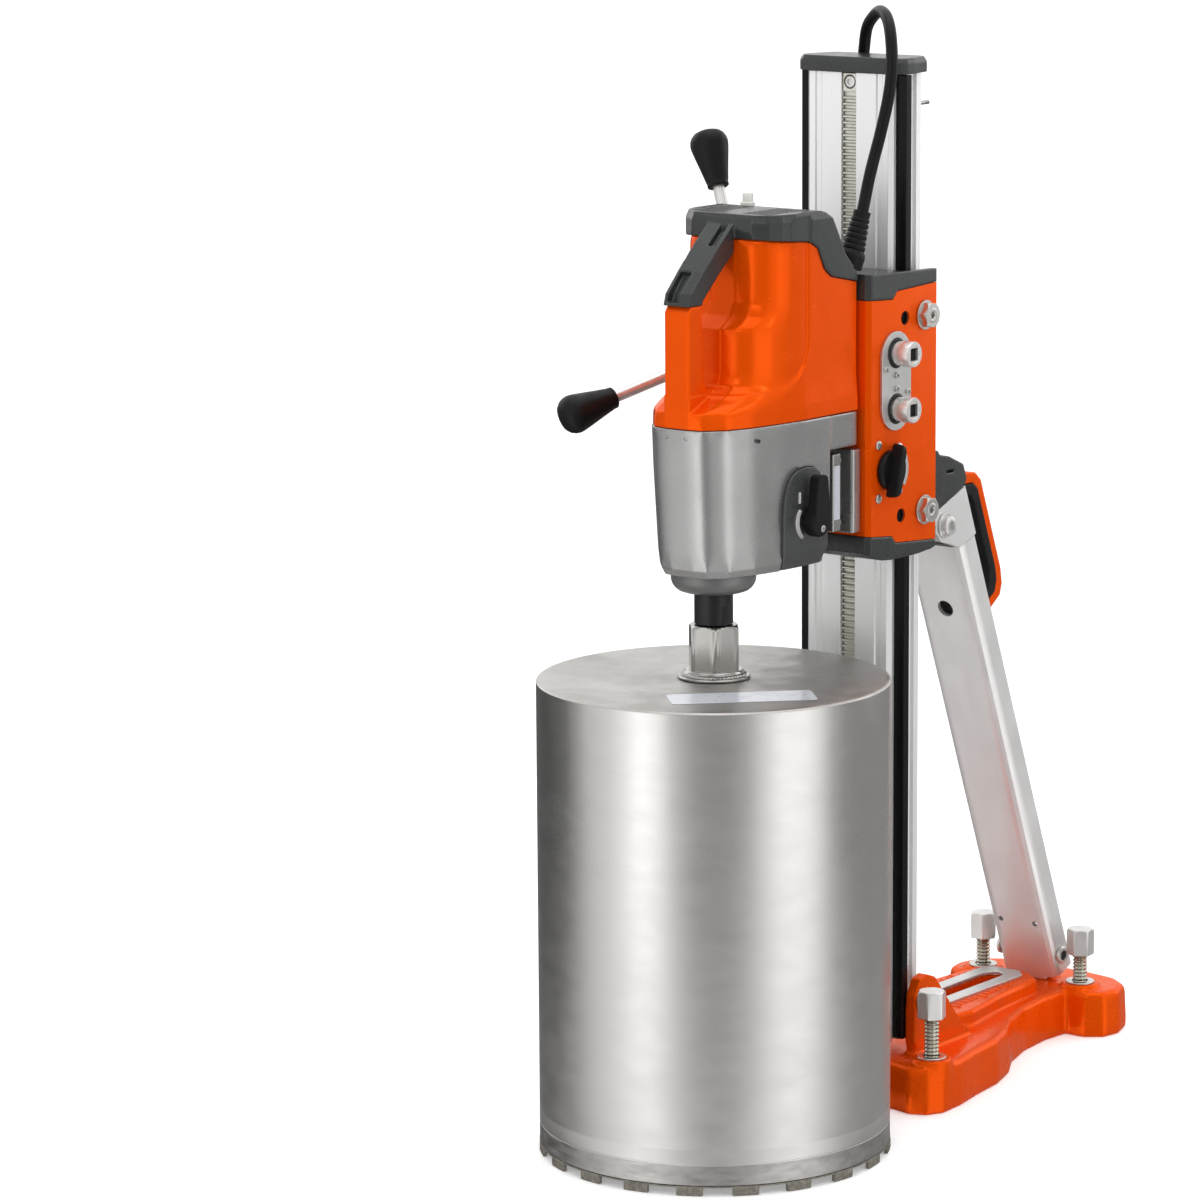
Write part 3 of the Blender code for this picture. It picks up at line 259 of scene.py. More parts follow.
(Material("anodised_extrusion", color=(0.90, 0.905, 0.90), metallic=0.55, rough=0.38)
 .bump(strength=0.10, depth=0.0002, scale=900, stretch=(1, 1, 0.004), roughness=0.6)
 .vary_rough(low=0.27, high=0.42, scale=420, stretch=(1, 1, 0.01))
 .tint(color=(0.84, 0.845, 0.84), amount=0.5, span=(0.4, 0.75), scale=7, stretch=(1, 1, 0.5))
 .edge(color=(0.82, 0.82, 0.82), amount=0.4, radius=0.0008))

(Material("strut_extrusion", color=(0.76, 0.755, 0.75), metallic=0.55, rough=0.38)
 .bump(strength=0.08, depth=0.0002, scale=900, stretch=(1, 0.05, 0.02), roughness=0.6)
 .vary_rough(low=0.30, high=0.46, scale=60, stretch=(1, 0.5, 0.3), detail=4)
 .tint(color=(0.69, 0.685, 0.68), amount=0.5, span=(0.45, 0.75), scale=16, detail=4)
 .edge(color=(0.80, 0.80, 0.80), amount=0.4, radius=0.0008))

(Material("zinc_plate", color=(0.58, 0.575, 0.555), metallic=0.92, rough=0.27)
 .vary_rough(low=0.22, high=0.34, scale=100)
 .bump(strength=0.06, depth=0.0002, scale=1200)
 .tint(color=(0.50, 0.485, 0.44), amount=0.7, span=(0.45, 0.7), scale=55, detail=4)
 .edge(color=(0.78, 0.77, 0.75), amount=0.5, radius=0.0006))

(Material("threaded_steel", color=(0.42, 0.40, 0.34), metallic=1, rough=0.24)
 .vary_rough(low=0.18, high=0.32, scale=120)
 .bump(strength=0.10, depth=0.0002, scale=900)
 .tint(color=(0.30, 0.27, 0.20), amount=0.8, span=(0.45, 0.75), scale=90, detail=4))

(Material("rack_steel", color=(0.70, 0.69, 0.63), metallic=0.8, rough=0.34)
 .vary_rough(low=0.28, high=0.5, scale=160, detail=4)
 .bump(strength=0.1, depth=0.0002, scale=1000)
 .tint(color=(0.55, 0.53, 0.44), amount=0.7, span=(0.4, 0.7), scale=45, detail=4)
 .edge(color=(0.75, 0.75, 0.70), amount=0.5, radius=0.0006))

(Material("blackened_steel", color=(0.012, 0.012, 0.013), metallic=0.3, rough=0.30, spec=0.4)
 .vary_rough(low=0.26, high=0.46, scale=150, detail=4)
 .bump(strength=0.08, depth=0.0002, scale=1000)
 .tint(color=(0.024, 0.024, 0.025), amount=0.6, span=(0.45, 0.75), scale=35, detail=4)
 .edge(color=(0.22, 0.22, 0.22), amount=0.6, radius=0.0008))

(Material("rail_black", color=(0.004, 0.0045, 0.0045), metallic=0, rough=0.28, spec=0.15)
 .bump(strength=0.10, depth=0.0002, scale=1100, stretch=(1, 1, 0.004))
 .vary_rough(low=0.22, high=0.42, scale=260, stretch=(1, 1, 0.02))
 .tint(color=(0.02, 0.02, 0.02), amount=0.4, span=(0.55, 0.75), scale=200, stretch=(1, 1, 0.01)))

# core bit tube: bare drawn steel, brushed round its girth, slightly wavy, smoother higher up
tube = Material("bit_tube", color=(0.60, 0.59, 0.575), metallic=1, rough=0.30)
tube.bump(strength=0.045, depth=0.0002, scale=1, stretch=(60, 60, 2600), detail=4, roughness=0.65)
tube.bump(strength=0.16, depth=0.0035, scale=1, stretch=(7, 7, 16), detail=2)
axes = tube.node("SeparateXYZ")
tube.link(tube.coords.outputs["Object"], axes.inputs[0])
gradient = tube.remap(axes.outputs["Z"], low=0.40, high=0.20, span=(0.03, 0.47))
speckle = tube.remap(tube.noise(scale=1, stretch=(26, 26, 60), detail=4), low=-0.02, high=0.05)
total = tube.node("Math", operation="ADD")
tube.link(gradient, total.inputs[0])
tube.link(speckle, total.inputs[1])
tube.link(total.outputs[0], tube.bsdf.inputs["Roughness"])
tube.tint(color=(0.55, 0.54, 0.525), amount=0.5, span=(0.4, 0.75), scale=1,
          stretch=(14, 14, 30), detail=4)
tube.tint(color=(0.68, 0.67, 0.66), amount=0.30, span=(0.55, 0.8), scale=1,
          stretch=(30, 30, 1200))

(Material("bit_top", color=(0.50, 0.485, 0.465), metallic=1, rough=0.42)
 .bump(strength=0.10, depth=0.0002, scale=420, detail=4, roughness=0.6)
 .bump(strength=0.15, depth=0.0025, scale=16, detail=2)
 .vary_rough(low=0.34, high=0.54, scale=30, detail=5)
 .tint(color=(0.36, 0.35, 0.335), amount=0.8, span=(0.4, 0.72), scale=12, detail=5,
       roughness=0.65)
 .tint(color=(0.62, 0.61, 0.60), amount=0.4, span=(0.55, 0.8), scale=220, detail=4))

(Material("bit_band", color=(0.44, 0.43, 0.415), metallic=1, rough=0.40)
 .bump(strength=0.2, depth=0.0004, scale=1, stretch=(160, 160, 500), detail=4)
 .vary_rough(low=0.32, high=0.52, scale=1, stretch=(40, 40, 200), detail=5)
 .tint(color=(0.30, 0.29, 0.28), amount=0.7, span=(0.4, 0.7), scale=1,
       stretch=(50, 50, 120), detail=5))

(Material("diamond_segment", color=(0.20, 0.185, 0.16), metallic=0.5, rough=0.62)
 .bump_cells(strength=0.5, depth=0.0004, scale=900)
 .bump(strength=0.4, depth=0.0004, scale=500, detail=5)
 .tint(color=(0.34, 0.31, 0.25), amount=0.8, span=(0.45, 0.7), scale=300, detail=5)
 .tint(color=(0.10, 0.09, 0.08), amount=0.6, span=(0.5, 0.75), scale=60))

(Material("bright_steel", color=(0.70, 0.695, 0.68), metallic=0.75, rough=0.34)
 .vary_rough(low=0.28, high=0.44, scale=120, detail=4)
 .bump(strength=0.06, depth=0.0003, scale=1, stretch=(300, 300, 40))
 .tint(color=(0.58, 0.56, 0.53), amount=0.6, span=(0.45, 0.75), scale=40, detail=4)
 .edge(color=(0.85, 0.84, 0.82), amount=0.5, radius=0.0006))

(Material("shaft_plate_zinc", color=(0.62, 0.62, 0.61), metallic=0.9, rough=0.36)
 .vary_rough(low=0.30, high=0.48, scale=120, detail=4)
 .bump(strength=0.08, depth=0.0002, scale=900)
 .tint(color=(0.52, 0.52, 0.51), amount=0.6, span=(0.45, 0.75), scale=40, detail=4))

(Material("blank_label", color=(0.55, 0.57, 0.62), metallic=0.1, rough=0.32, coat=0.4)
 .tint(color=(0.47, 0.49, 0.55), amount=0.6, span=(0.4, 0.7), scale=60)
 .bump(strength=0.05, depth=0.0003, scale=200, detail=2)
 .vary_rough(low=0.26, high=0.42, scale=90))

(Material("printed_mark", color=(0.70, 0.70, 0.69), metallic=0, rough=0.5)
 .vary_rough(low=0.42, high=0.6, scale=400)
 .tint(color=(0.4, 0.4, 0.4), amount=0.5, span=(0.5, 0.8), scale=700, detail=4))

(Material("clear_plastic", color=(0.97, 0.98, 0.93), metallic=0, rough=0.10,
          inputs={"Transmission Weight": 0.35, "IOR": 1.18})
 .vary_rough(low=0.10, high=0.25, scale=150)
 .bump(strength=0.04, depth=0.0004, scale=300))

(Material("nose_grey", color=(0.17, 0.17, 0.168), metallic=0.35, rough=0.34)
 .vary_rough(low=0.28, high=0.42, scale=80, detail=4)
 .bump(strength=0.08, depth=0.0003, scale=900)
 .tint(color=(0.13, 0.13, 0.128), amount=0.5, span=(0.4, 0.75), scale=18))

(Material("hub_steel", color=(0.33, 0.325, 0.31), metallic=1, rough=0.20)
 .vary_rough(low=0.17, high=0.24, scale=40, detail=2)
 .bump(strength=0.08, depth=0.0003, scale=700)
 .tint(color=(0.28, 0.27, 0.255), amount=0.5, span=(0.45, 0.75), scale=25, detail=2)
 .edge(color=(0.75, 0.74, 0.72), amount=0.5, radius=0.0008))

SLOT_MATERIAL = {"orange_paint": "orange_gloss", "grey_plastic": "grey_plastic",
                 "black_rubber": "black_grip", "cast_silver": "cast_silver",
                 "anodised": "anodised_extrusion", "brushed_bit": "bit_tube",
                 "zinc": "zinc_plate", "dark_steel": "blackened_steel"}


# ------------------------------------------------------------------ objects
def link_object(name, data):
    ob = bpy.data.objects.new(name, data)
    scene.collection.objects.link(ob)
    return ob


def scaled(bm, factor):
    bmesh.ops.scale(bm, vec=(factor, factor, factor), verts=bm.verts)
    return bm


def recalc(bm):
    bmesh.ops.recalc_face_normals(bm, faces=bm.faces)


def to_mesh(name, bm):
    """A mesh in metres from a shape in mm."""
    recalc(scaled(bm, MM))
    mesh = bpy.data.meshes.new(name)
    bm.to_mesh(mesh)
    bm.free()
    return mesh


def put_mesh(name, mesh, materials, body, smooth=35, node=None):
    """An object riding on a body, in the place of a CAD node if one is named."""
    ob = link_object(name, mesh)
    mesh.materials.clear()
    for material in [materials] if isinstance(materials, str) else materials:
        mesh.materials.append(MATERIALS[material])
    mesh.shade_smooth()
    if smooth < 180:
        mesh.set_sharp_from_angle(angle=math.radians(smooth))
    if node:
        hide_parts(node)
    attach(ob, body)
    return ob


def put(name, bm, materials, body, smooth=35, node=None):
    return put_mesh(name, to_mesh(name, bm), materials, body, smooth, node)


def stand_in(node, bm, materials, smooth=35, body=None):
    """A new shape for a CAD node."""
    return put("v_" + node, bm, materials, body or BODY[node], smooth, node)


def node_bm(node):
    """The CAD node's mesh in mm, welded, with flat areas joined into single faces."""
    bm = bmesh.new()
    bm.from_mesh(NODES[node].data)
    scaled(bm, 1000)
    bmesh.ops.remove_doubles(bm, verts=bm.verts, dist=0.002)
    bmesh.ops.dissolve_limit(bm, angle_limit=math.radians(0.6), verts=bm.verts, edges=bm.edges)
    return bm


def bevelled(ob, width, segments=3, angle=32):
    bevel = ob.modifiers.new("edge", "BEVEL")
    bevel.width = width * MM
    bevel.segments = segments
    bevel.limit_method = "ANGLE"
    bevel.angle_limit = math.radians(angle)
    bevel.use_clamp_overlap = True
    bevel.miter_outer = "MITER_ARC"
    ob.modifiers.new("normals", "WEIGHTED_NORMAL").keep_sharp = True


def refine(node, material, width=0.6, segments=3, angle=32, smooth=35):
    """A cleaned copy of a CAD node with rounded edges, in its place."""
    bevelled(stand_in(node, node_bm(node), material, smooth), width, segments, angle)


def temp_object(bm, name="t"):
    mesh = bpy.data.meshes.new(name)
    bm.to_mesh(mesh)
    bm.free()
    return link_object(name, mesh)


def evaluated(ob):
    graph = bpy.context.evaluated_depsgraph_get()
    return bpy.data.meshes.new_from_object(ob.evaluated_get(graph))


def boolean(ob, operation, shapes):
    """Add boolean modifiers for closed shapes; returns the tool objects."""
    tools = []
    for shape in shapes:
        recalc(shape)
        tools.append(temp_object(shape))
        modifier = ob.modifiers.new("b", "BOOLEAN")
        modifier.operation = operation
        modifier.solver = "EXACT"
        modifier.object = tools[-1]
    return tools


def remove(objects):
    for ob in objects:
        bpy.data.objects.remove(ob, do_unlink=True)


def vertex_array(mesh):
    coords = np.empty(len(mesh.vertices) * 3)
    mesh.vertices.foreach_get("co", coords)
    return coords.reshape(-1, 3)


def ramp(value, start, end):
    return np.clip((value - start) / (end - start), 0.0, 1.0)


def relax(ob, rounds, weight, use_z=False):
    """Even out facets where weight(x, y, z in mm) says so, in steps of a twentieth."""
    mesh = ob.data
    coords = vertex_array(mesh) / MM
    weights = np.clip(weight(coords[:, 0], coords[:, 1], coords[:, 2]), 0.0, 1.0)
    group = ob.vertex_groups.new(name="relax")
    steps = np.round(weights * 20).astype(int)
    for step in range(1, 21):
        chosen = np.nonzero(steps == step)[0]
        if len(chosen):
            group.add(chosen.tolist(), step / 20.0, "REPLACE")
    smooth = ob.modifiers.new("relax", "SMOOTH")
    smooth.factor = 0.5
    smooth.iterations = rounds
    smooth.vertex_group = "relax"
    smooth.use_z = use_z
    relaxed = evaluated(ob)
    ob.modifiers.remove(smooth)
    ob.vertex_groups.remove(group)
    ob.data = relaxed
    bpy.data.meshes.remove(mesh)


def fit_inside(ob, node):
    """Keep a skin inside its CAD node's box."""
    low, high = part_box(node)
    coords = np.clip(vertex_array(ob.data), np.array(low), np.array(high))
    ob.data.vertices.foreach_set("co", coords.ravel())
    ob.data.update()


def remeshed(node, material, voxel, rounds, add=(), cut=(), relaxing=None):
    """A cast or moulded piece: the CAD form as a fine even skin with its edges rounded off."""
    source = temp_object(scaled(node_bm(node), MM), node + "_src")
    tools = boolean(source, "UNION", [scaled(shape, MM) for shape in add])
    tools += boolean(source, "DIFFERENCE", [scaled(shape, MM) for shape in cut])
    remesh = source.modifiers.new("r", "REMESH")
    remesh.mode = "VOXEL"
    remesh.voxel_size = voxel * MM * 1.0
    smooth = source.modifiers.new("s", "SMOOTH")
    smooth.factor = 0.5
    smooth.iterations = rounds
    mesh = evaluated(source)
    remove(tools + [source])
    ob = put_mesh("v_" + node, mesh, material, BODY[node], 180, node)
    if relaxing:
        relax(ob, **relaxing)
    fit_inside(ob, node)


# ------------------------------------------------------------------ shapes, in mm
def place(x, y, z, turn=TO_RIGHT):
    return Matrix.Translation((x, y, z)) @ turn


def outward(x, y, z):
    """Pointing away from the middle plane: left where x is negative, else right."""
    matrix = place(x, y, z)
    return matrix @ Matrix.Rotation(math.pi, 4, "X") if x < 0 else matrix


def toward(start, direction):
    turn = Vector((0, 0, 1)).rotation_difference(direction)
    return Matrix.Translation(start) @ turn.to_matrix().to_4x4()


def subtract(shape, *cuts):
    recalc(shape)
    base = temp_object(shape)
    tools = boolean(base, "DIFFERENCE", cuts)
    result = bmesh.new()
    result.from_mesh(evaluated(base))
    remove(tools + [base])
    return result


def join(*shapes):
    result = bmesh.new()
    for shape in shapes:
        mesh = bpy.data.meshes.new("j")
        shape.to_mesh(mesh)
        shape.free()
        result.from_mesh(mesh)
        bpy.data.meshes.remove(mesh)
    return result


def sided(bm, side):
    """The shape as drawn on the right, or mirrored to the left for side -1."""
    if side < 0:
        bmesh.ops.scale(bm, vec=(-1, 1, 1), verts=bm.verts)
        bmesh.ops.reverse_faces(bm, faces=bm.faces)
    return bm


def box(low, high, bm=None):
    bm = bm or bmesh.new()
    middle = [(a + b) / 2 for a, b in zip(low, high)]
    lengths = [b - a for a, b in zip(low, high)]
    matrix = Matrix.Translation(middle) @ Matrix.Diagonal((*lengths, 1))
    bmesh.ops.create_cube(bm, size=1.0, matrix=matrix)
    return bm


def skin(rings, matrix=UPRIGHT, loop=False, bm=None):
    """Join rings of points, each to the next.

    A ring of one point is a tip. Wider end rings are capped, or joined in a loop.
    """
    bm = bm or bmesh.new()
    rows = [[bm.verts.new(matrix @ Vector(point)) for point in ring] for ring in rings]
    pairs = list(zip(rows, rows[1:])) + ([(rows[-1], rows[0])] if loop else [])
    for lower, upper in pairs:
        count = max(len(lower), len(upper))
        for i in range(count):
            j = (i + 1) % count
            if len(lower) == 1:
                bm.faces.new((lower[0], upper[j], upper[i]))
            elif len(upper) == 1:
                bm.faces.new((lower[i], lower[j], upper[0]))
            else:
                bm.faces.new((lower[i], lower[j], upper[j], upper[i]))
    if not loop:
        if len(rows[0]) > 1:
            bm.faces.new(rows[0][::-1])
        if len(rows[-1]) > 1:
            bm.faces.new(rows[-1])
    return bm


def circle(radius, z, sides, turn=0.0):
    angles = [2 * math.pi * i / sides + turn for i in range(sides)]
    return [(radius * math.cos(angle), radius * math.sin(angle), z) for angle in angles]


def hexagon(inradius, z, sides, turn=0.0, limit=math.inf):
    """A hexagon of many points, its corners cut off at the limit radius."""
    points = []
    for i in range(sides):
        angle = 2 * math.pi * i / sides
        from_flat = (angle - math.pi / 6) % (math.pi / 3) - math.pi / 6
        radius = min(inradius / math.cos(from_flat), limit)
        points.append((radius * math.cos(angle + turn), radius * math.sin(angle + turn), z))
    return points


def lathe(profile, sides, matrix=UPRIGHT, bm=None):
    """Spin (radius, height) points; a profile that starts off the axis is a closed loop."""
    rings = [circle(radius, height, sides) if radius else [(0, 0, height)]
             for radius, height in profile]
    return skin(rings, matrix, loop=profile[0][0] > 0, bm=bm)


def hex_head(flats, height, matrix, turn, chamfer, socket=0.0):
    """A hexagon head with rounded top corners, and a hexagon socket of this inradius."""
    sides = 72
    corner = flats / 2 / math.cos(math.pi / 6)
    shoulder = height - chamfer * 1.4
    rings = []
    for z in (0.0, 0.3, shoulder, height - chamfer * 0.7, height - chamfer * 0.25, height):
        limit = corner
        if z == 0:
            limit = corner * 0.985
        elif z > shoulder:
            limit = corner * (1 - (z - shoulder) / (height - shoulder) * 0.15)
        rings.append(hexagon(flats / 2, z, sides, turn, limit))
    if socket:
        rings += [circle(socket * 1.12 * 1.1, height, sides, turn),
                  hexagon(socket, height - 0.6, sides, turn),
                  hexagon(socket, height * 0.45, sides, turn), [(0, 0, height * 0.40)]]
    return skin(rings, matrix)


def socket_screw(radius, height, socket, matrix, bm=None):
    """A round head with a hexagon socket of this inradius."""
    sides = 36
    profile = [(radius * 0.97, 0), (radius, 0.15 * height), (radius, height * 0.75),
               (radius * 0.93, height * 0.94), (radius * 0.85, height)]
    rings = [circle(ring, z, sides) for ring, z in profile]
    rings += [hexagon(socket, z, sides) for z in (height, height * 0.35)]
    return skin(rings, matrix, bm=bm)


def screw_set(name, places, radius, height, socket, material="zinc_plate", body="carriage"):
    """Several socket screws pointing outward, as one object."""
    bm = bmesh.new()
    for spot in places:
        socket_screw(radius, height, socket, outward(*spot), bm)
    put(name, bm, material, body)


def prism(points, start, end, axis="x", bm=None):
    """An outline in (y, z) drawn out along x, or in (x, y) along z."""
    def at(point, height):
        return (height, point[0], point[1]) if axis == "x" else (point[0], point[1], height)
    return skin([[at(point, height) for point in points] for height in (start, end)], bm=bm)


def arc(centre, radius, first, last, steps):
    """Points on an arc, from the first angle to the last in degrees."""
    angles = [math.radians(first + (last - first) * i / steps) for i in range(steps + 1)]
    return [(centre[0] + radius * math.cos(angle), centre[1] + radius * math.sin(angle))
            for angle in angles]


def band(centre, inner, outer, first, last, steps):
    return arc(centre, outer, first, last, steps) + arc(centre, inner, last, first, steps)


def gear(teeth, module, addendum, dedendum, thickness, phase, centre):
    """The outline of a spur gear."""
    pitch = teeth * module / 2
    root, near_tip, tip = pitch - dedendum, pitch + addendum * 0.92, pitch + addendum
    half_root = (thickness * 1.45) / 2 / root
    half_mid = thickness / 2 / pitch
    half_tip = (thickness * 0.55) / 2 / tip
    # radius and angle from the tooth's middle, up one flank
    flank = [(root, -half_root), (pitch, -half_mid), (near_tip, -half_tip * 1.1),
             (tip, -half_tip * 0.8)]
    tooth = flank + [(radius, -offset) for radius, offset in reversed(flank)]
    points = []
    for k in range(teeth):
        middle = phase + 2 * math.pi * k / teeth
        points += [(centre[0] + radius * math.cos(middle + offset),
                    centre[1] + radius * math.sin(middle + offset)) for radius, offset in tooth]
    return points


def threaded(centre, start, end, radius, pitch, depth):
    """A screw shank whose surface runs along the thread's helix, with a tapered lower tip."""
    sides, per_turn, tip = 32, 8, 3.0
    rise = pitch / per_turn
    rows = int((end - start) / rise) + 1
    bm = bmesh.new()
    verts = {}
    for j in range(rows + 2):
        phase = (j % per_turn) / per_turn
        groove = min(1.0, max(0.0, (abs(phase * 2 - 1) - 0.12) / 0.76))
        for i in range(sides if j <= rows else 1):
            z = min(max(start + (j + i / sides) * rise, start), end)
            fade = min(1.0, max(0.0, (end - z) / 2.5))
            reach = radius - depth * groove * fade
            if z < start + tip:
                reach = min(reach, radius - tip + (z - start))
            angle = 2 * math.pi * i / sides
            verts[i, j] = bm.verts.new((centre[0] + reach * math.cos(angle),
                                        centre[1] + reach * math.sin(angle), z))
    for j in range(rows):
        for i in range(sides):
            # the last face of a turn meets the next row
            right = (i + 1, j) if i + 1 < sides else (0, j + 1)
            above = (right[0], right[1] + 1)
            bm.faces.new((verts[i, j], verts[right], verts[above], verts[i, j + 1]))
    for j, z, flipped in ((0, start, True), (rows, end, False)):
        middle = bm.verts.new((*centre, z))
        rim = [verts[i, j] for i in range(sides)] + [verts[0, j + 1]]
        for a, b in zip(rim, rim[1:] + rim[:1]):
            bm.faces.new((middle, b, a) if flipped else (middle, a, b))
    return bm


def sweep(points, radius, sides, steps):
    """A round tube along a smooth line through the points."""
    knots = [Vector(point) for point in points]
    knots = [knots[0] * 2 - knots[1]] + knots + [knots[-1] * 2 - knots[-2]]
    line = []
    for p0, p1, p2, p3 in zip(knots, knots[1:], knots[2:], knots[3:]):
        for step in range(steps):
            t = step / steps
            line.append(0.5 * ((2 * p1) + (p2 - p0) * t + (2 * p0 - 5 * p1 + 4 * p2 - p3) * t * t
                               + (3 * p1 - p0 - 3 * p2 + p3) * t ** 3))
    line.append(knots[-2])
    rings = []
    normal = None
    for i, point in enumerate(line):
        tangent = (line[min(i + 1, len(line) - 1)] - line[max(i - 1, 0)]).normalized()
        if normal is None:
            normal = tangent.orthogonal().normalized()
        else:
            normal = (normal - tangent * normal.dot(tangent)).normalized()
        across = tangent.cross(normal)
        angles = [2 * math.pi * j / sides for j in range(sides)]
        rings.append([point + (normal * math.cos(angle) + across * math.sin(angle)) * radius
                      for angle in angles])
    return skin(rings)


# ------------------------------------------------------------------ base
FRONT_SCREW = (103, -22)
REAR_SCREW = (63.3, 320.6)
# name, x, y, underside of the head
SCREWS = (("screw_front_right", FRONT_SCREW[0], FRONT_SCREW[1], 96.0),
          ("screw_front_left", -FRONT_SCREW[0], FRONT_SCREW[1], 96.0),
          ("screw_rear_right", REAR_SCREW[0], REAR_SCREW[1], 85.5),
          ("screw_rear_left", -REAR_SCREW[0], REAR_SCREW[1], 85.5))
WASHER = [(8.95, 0), (15.2, 0), (15.6, 0.4), (15.6, 1.4), (15.2, 1.8), (8.95, 1.8)]


def scale_bars(half_width, bottom, top):
    """Two rows of bars across the base, every fifth one longer."""
    bm = bmesh.new()
    inner = 29.5
    for side in (-1, 1):
        for k in range(15):
            y = 118 + 10 * k
            reach = 40 - 10 * max(0, y - 180) / 100
            outer = reach + 3 if k % 5 == 0 else reach - 2
            left, right = sorted((side * inner, side * outer))
            box((left, y - half_width, bottom), (right, y + half_width, top), bm)
    return bm


def base_weight(x, y, z):
    """The sides and rear of the base, away from its floor, its top and the screw bosses."""
    def clear_of(screw):
        return ramp(np.hypot(abs(x) - screw[0], y - screw[1]), 19, 23)
    return (ramp(z, 2.5, 6) * np.maximum(ramp(abs(x), 44, 56), ramp(y, 300, 330))
            * ramp(62.0 - z, 0, 6) * clear_of(FRONT_SCREW) * clear_of(REAR_SCREW))


remeshed("base_plate", "orange_cast", voxel=1.1, rounds=6, add=[scale_bars(1.1, 62, 67.4)],
         relaxing=dict(rounds=110, weight=base_weight, use_z=True))
put("v_scale_ridges", scale_bars(0.8, 63.0, 67.5), "orange_gloss", "base", 30)
refine("anchor_plate", "shaft_plate_zinc", width=0.7)

for k, (node, x, y, head_z) in enumerate(SCREWS):
    shank = threaded((x, y), start=0.0, end=head_z + 0.5, radius=7.9, pitch=4.0, depth=1.35)
    head = hex_head(25.9, 28.4, place(x, y, head_z, UPRIGHT), turn=0.35 + 0.4 * k, chamfer=1.6)
    screw = stand_in(node, join(shank, head), ["threaded_steel", "bright_steel"], 42)
    for face in screw.data.polygons:
        if face.center.z * 1000 > head_z + 0.2:
            face.material_index = 1
    put("v_washer_" + node, lathe(WASHER, 48, place(x, y, 54.05, UPRIGHT)), "zinc_plate",
        "base", 40)

TILT_Z = 105
tilt_shank = lathe([(0, -86.0), (7.4, -86.0), (8.1, -85.2), (8.1, 85.2), (7.4, 86.0), (0, 86.0)],
                   40, place(0, 0, TILT_Z))
tilt_heads = [sided(hex_head(22.4, 8.5, place(77.4, 0, TILT_Z), turn=turn, chamfer=1.3), side)
              for side, turn in ((1, 0.2), (-1, 0.5))]
stand_in("tilt_bolt", join(tilt_shank, *tilt_heads), "bright_steel", body="base")

FOOT_Y, FOOT_Z = 322, 80
foot_axis = place(0, FOOT_Y, FOOT_Z)
foot_shank = lathe([(0, -38), (6.1, -38), (6.1, 38), (0, 38)], 32, foot_axis)
foot_heads = [socket_screw(9.4, 3.8, 5.4, outward(x, FOOT_Y, FOOT_Z)) for x in (37.5, -37.5)]
stand_in("strut_foot_bolt", join(foot_shank, *foot_heads), "bright_steel", 40, body="base")
# dark hexagons sunk in the two screw sockets: painted shade inside the sockets
socket_shade_fills = [lathe([(0, start), (5.0, start), (5.0, end), (0, end)], 6, foot_axis)
                 for start, end in ((39.0, 40.4), (-40.4, -39.0))]
put("v_foot_socket_shade", join(*socket_shade_fills), "blackened_steel", "base", 30)

# ------------------------------------------------------------------ column
RACK_SCREW_Z = 1046.8
refine("column", "anodised_extrusion", width=0.45, segments=2, angle=25, smooth=25)
refine("rail_left", "rail_black")
refine("rail_right", "rail_black")
refine("rack", "rack_steel", width=0.3, segments=2)
seat = lathe([(0, 0), (7.1, 0), (7.1, 6), (0, 6)], 48, place(0, -23.4, RACK_SCREW_Z, TO_FRONT))
rack_end = subtract(box((-8, -26.2, 1037), (8, -19.0, 1055.4)), seat)
bevelled(put("v_rack_end", rack_end, "rack_steel", "column", 30), 0.35, 2)
put("v_rack_screw", socket_screw(5.9, 2.3, 3.0, place(0, -23.8, RACK_SCREW_Z, TO_FRONT)),
    "bright_steel", "column")
screw_ring = lathe([(0, 0), (6.9, 0), (6.9, 0.5), (0, 0.5)], 40,
                   place(0, -23.3, RACK_SCREW_Z, TO_FRONT))
put("v_rack_screw_ring", screw_ring, "blackened_steel", "column")
remeshed("column_cap", "grey_plastic_dark", voxel=0.8, rounds=7)
pin = lathe([(0, 0), (1.8, 0), (2.1, 0.3), (2.1, 21.0), (1.6, 21.8), (0, 21.8)], 24,
            place(44, 27.0, 1024, TO_BACK))
put("v_cable_pin", pin, "hub_steel", "column")

# ------------------------------------------------------------------ strut
CLAMP_Y, STRUT_BOLT_Y, STRUT_TOP_Z = 60, 93, 585
refine("strut_slider", "zinc_plate")
clamp = lathe([(0, 19.5), (8.6, 19.5), (9.0, 19.9), (9.0, 34.0), (0, 34.0)], 40,
              place(0, CLAMP_Y, STRUT_TOP_Z))
clamp_head = hex_head(25.8, 6.9, place(33.05, CLAMP_Y, STRUT_TOP_Z), turn=0.3, chamfer=1.2)
stand_in("slider_clamp", join(clamp, clamp_head), "zinc_plate")
refine("strut_tube", "strut_extrusion", width=0.7, angle=38, smooth=34)
refine("strut_fork", "strut_extrusion", width=0.9, angle=38, smooth=34)
cap_slots = bmesh.new()
for low, high in (((30, 96, 638.5), (41, 110, 641.5)), ((-41, 96, 638.5), (-30, 110, 641.5)),
                  ((-28, 53, 661.5), (28, 56.5, 668))):
    box(low, high, cap_slots)
remeshed("strut_cap", "grey_plastic_dark", voxel=0.8, rounds=6, cut=[cap_slots])
remeshed("carry_handle", "orange_gloss", voxel=0.8, rounds=7)
remeshed("carry_grip", "black_grip", voxel=0.8, rounds=10)
STRUT_BOLT = [(0, 24.2), (7.5, 24.2), (8.0, 24.7), (8.0, 37.6), (12.6, 37.6), (13.0, 38.0),
              (13.0, 39.5), (12.5, 40.0), (0, 40.0)]
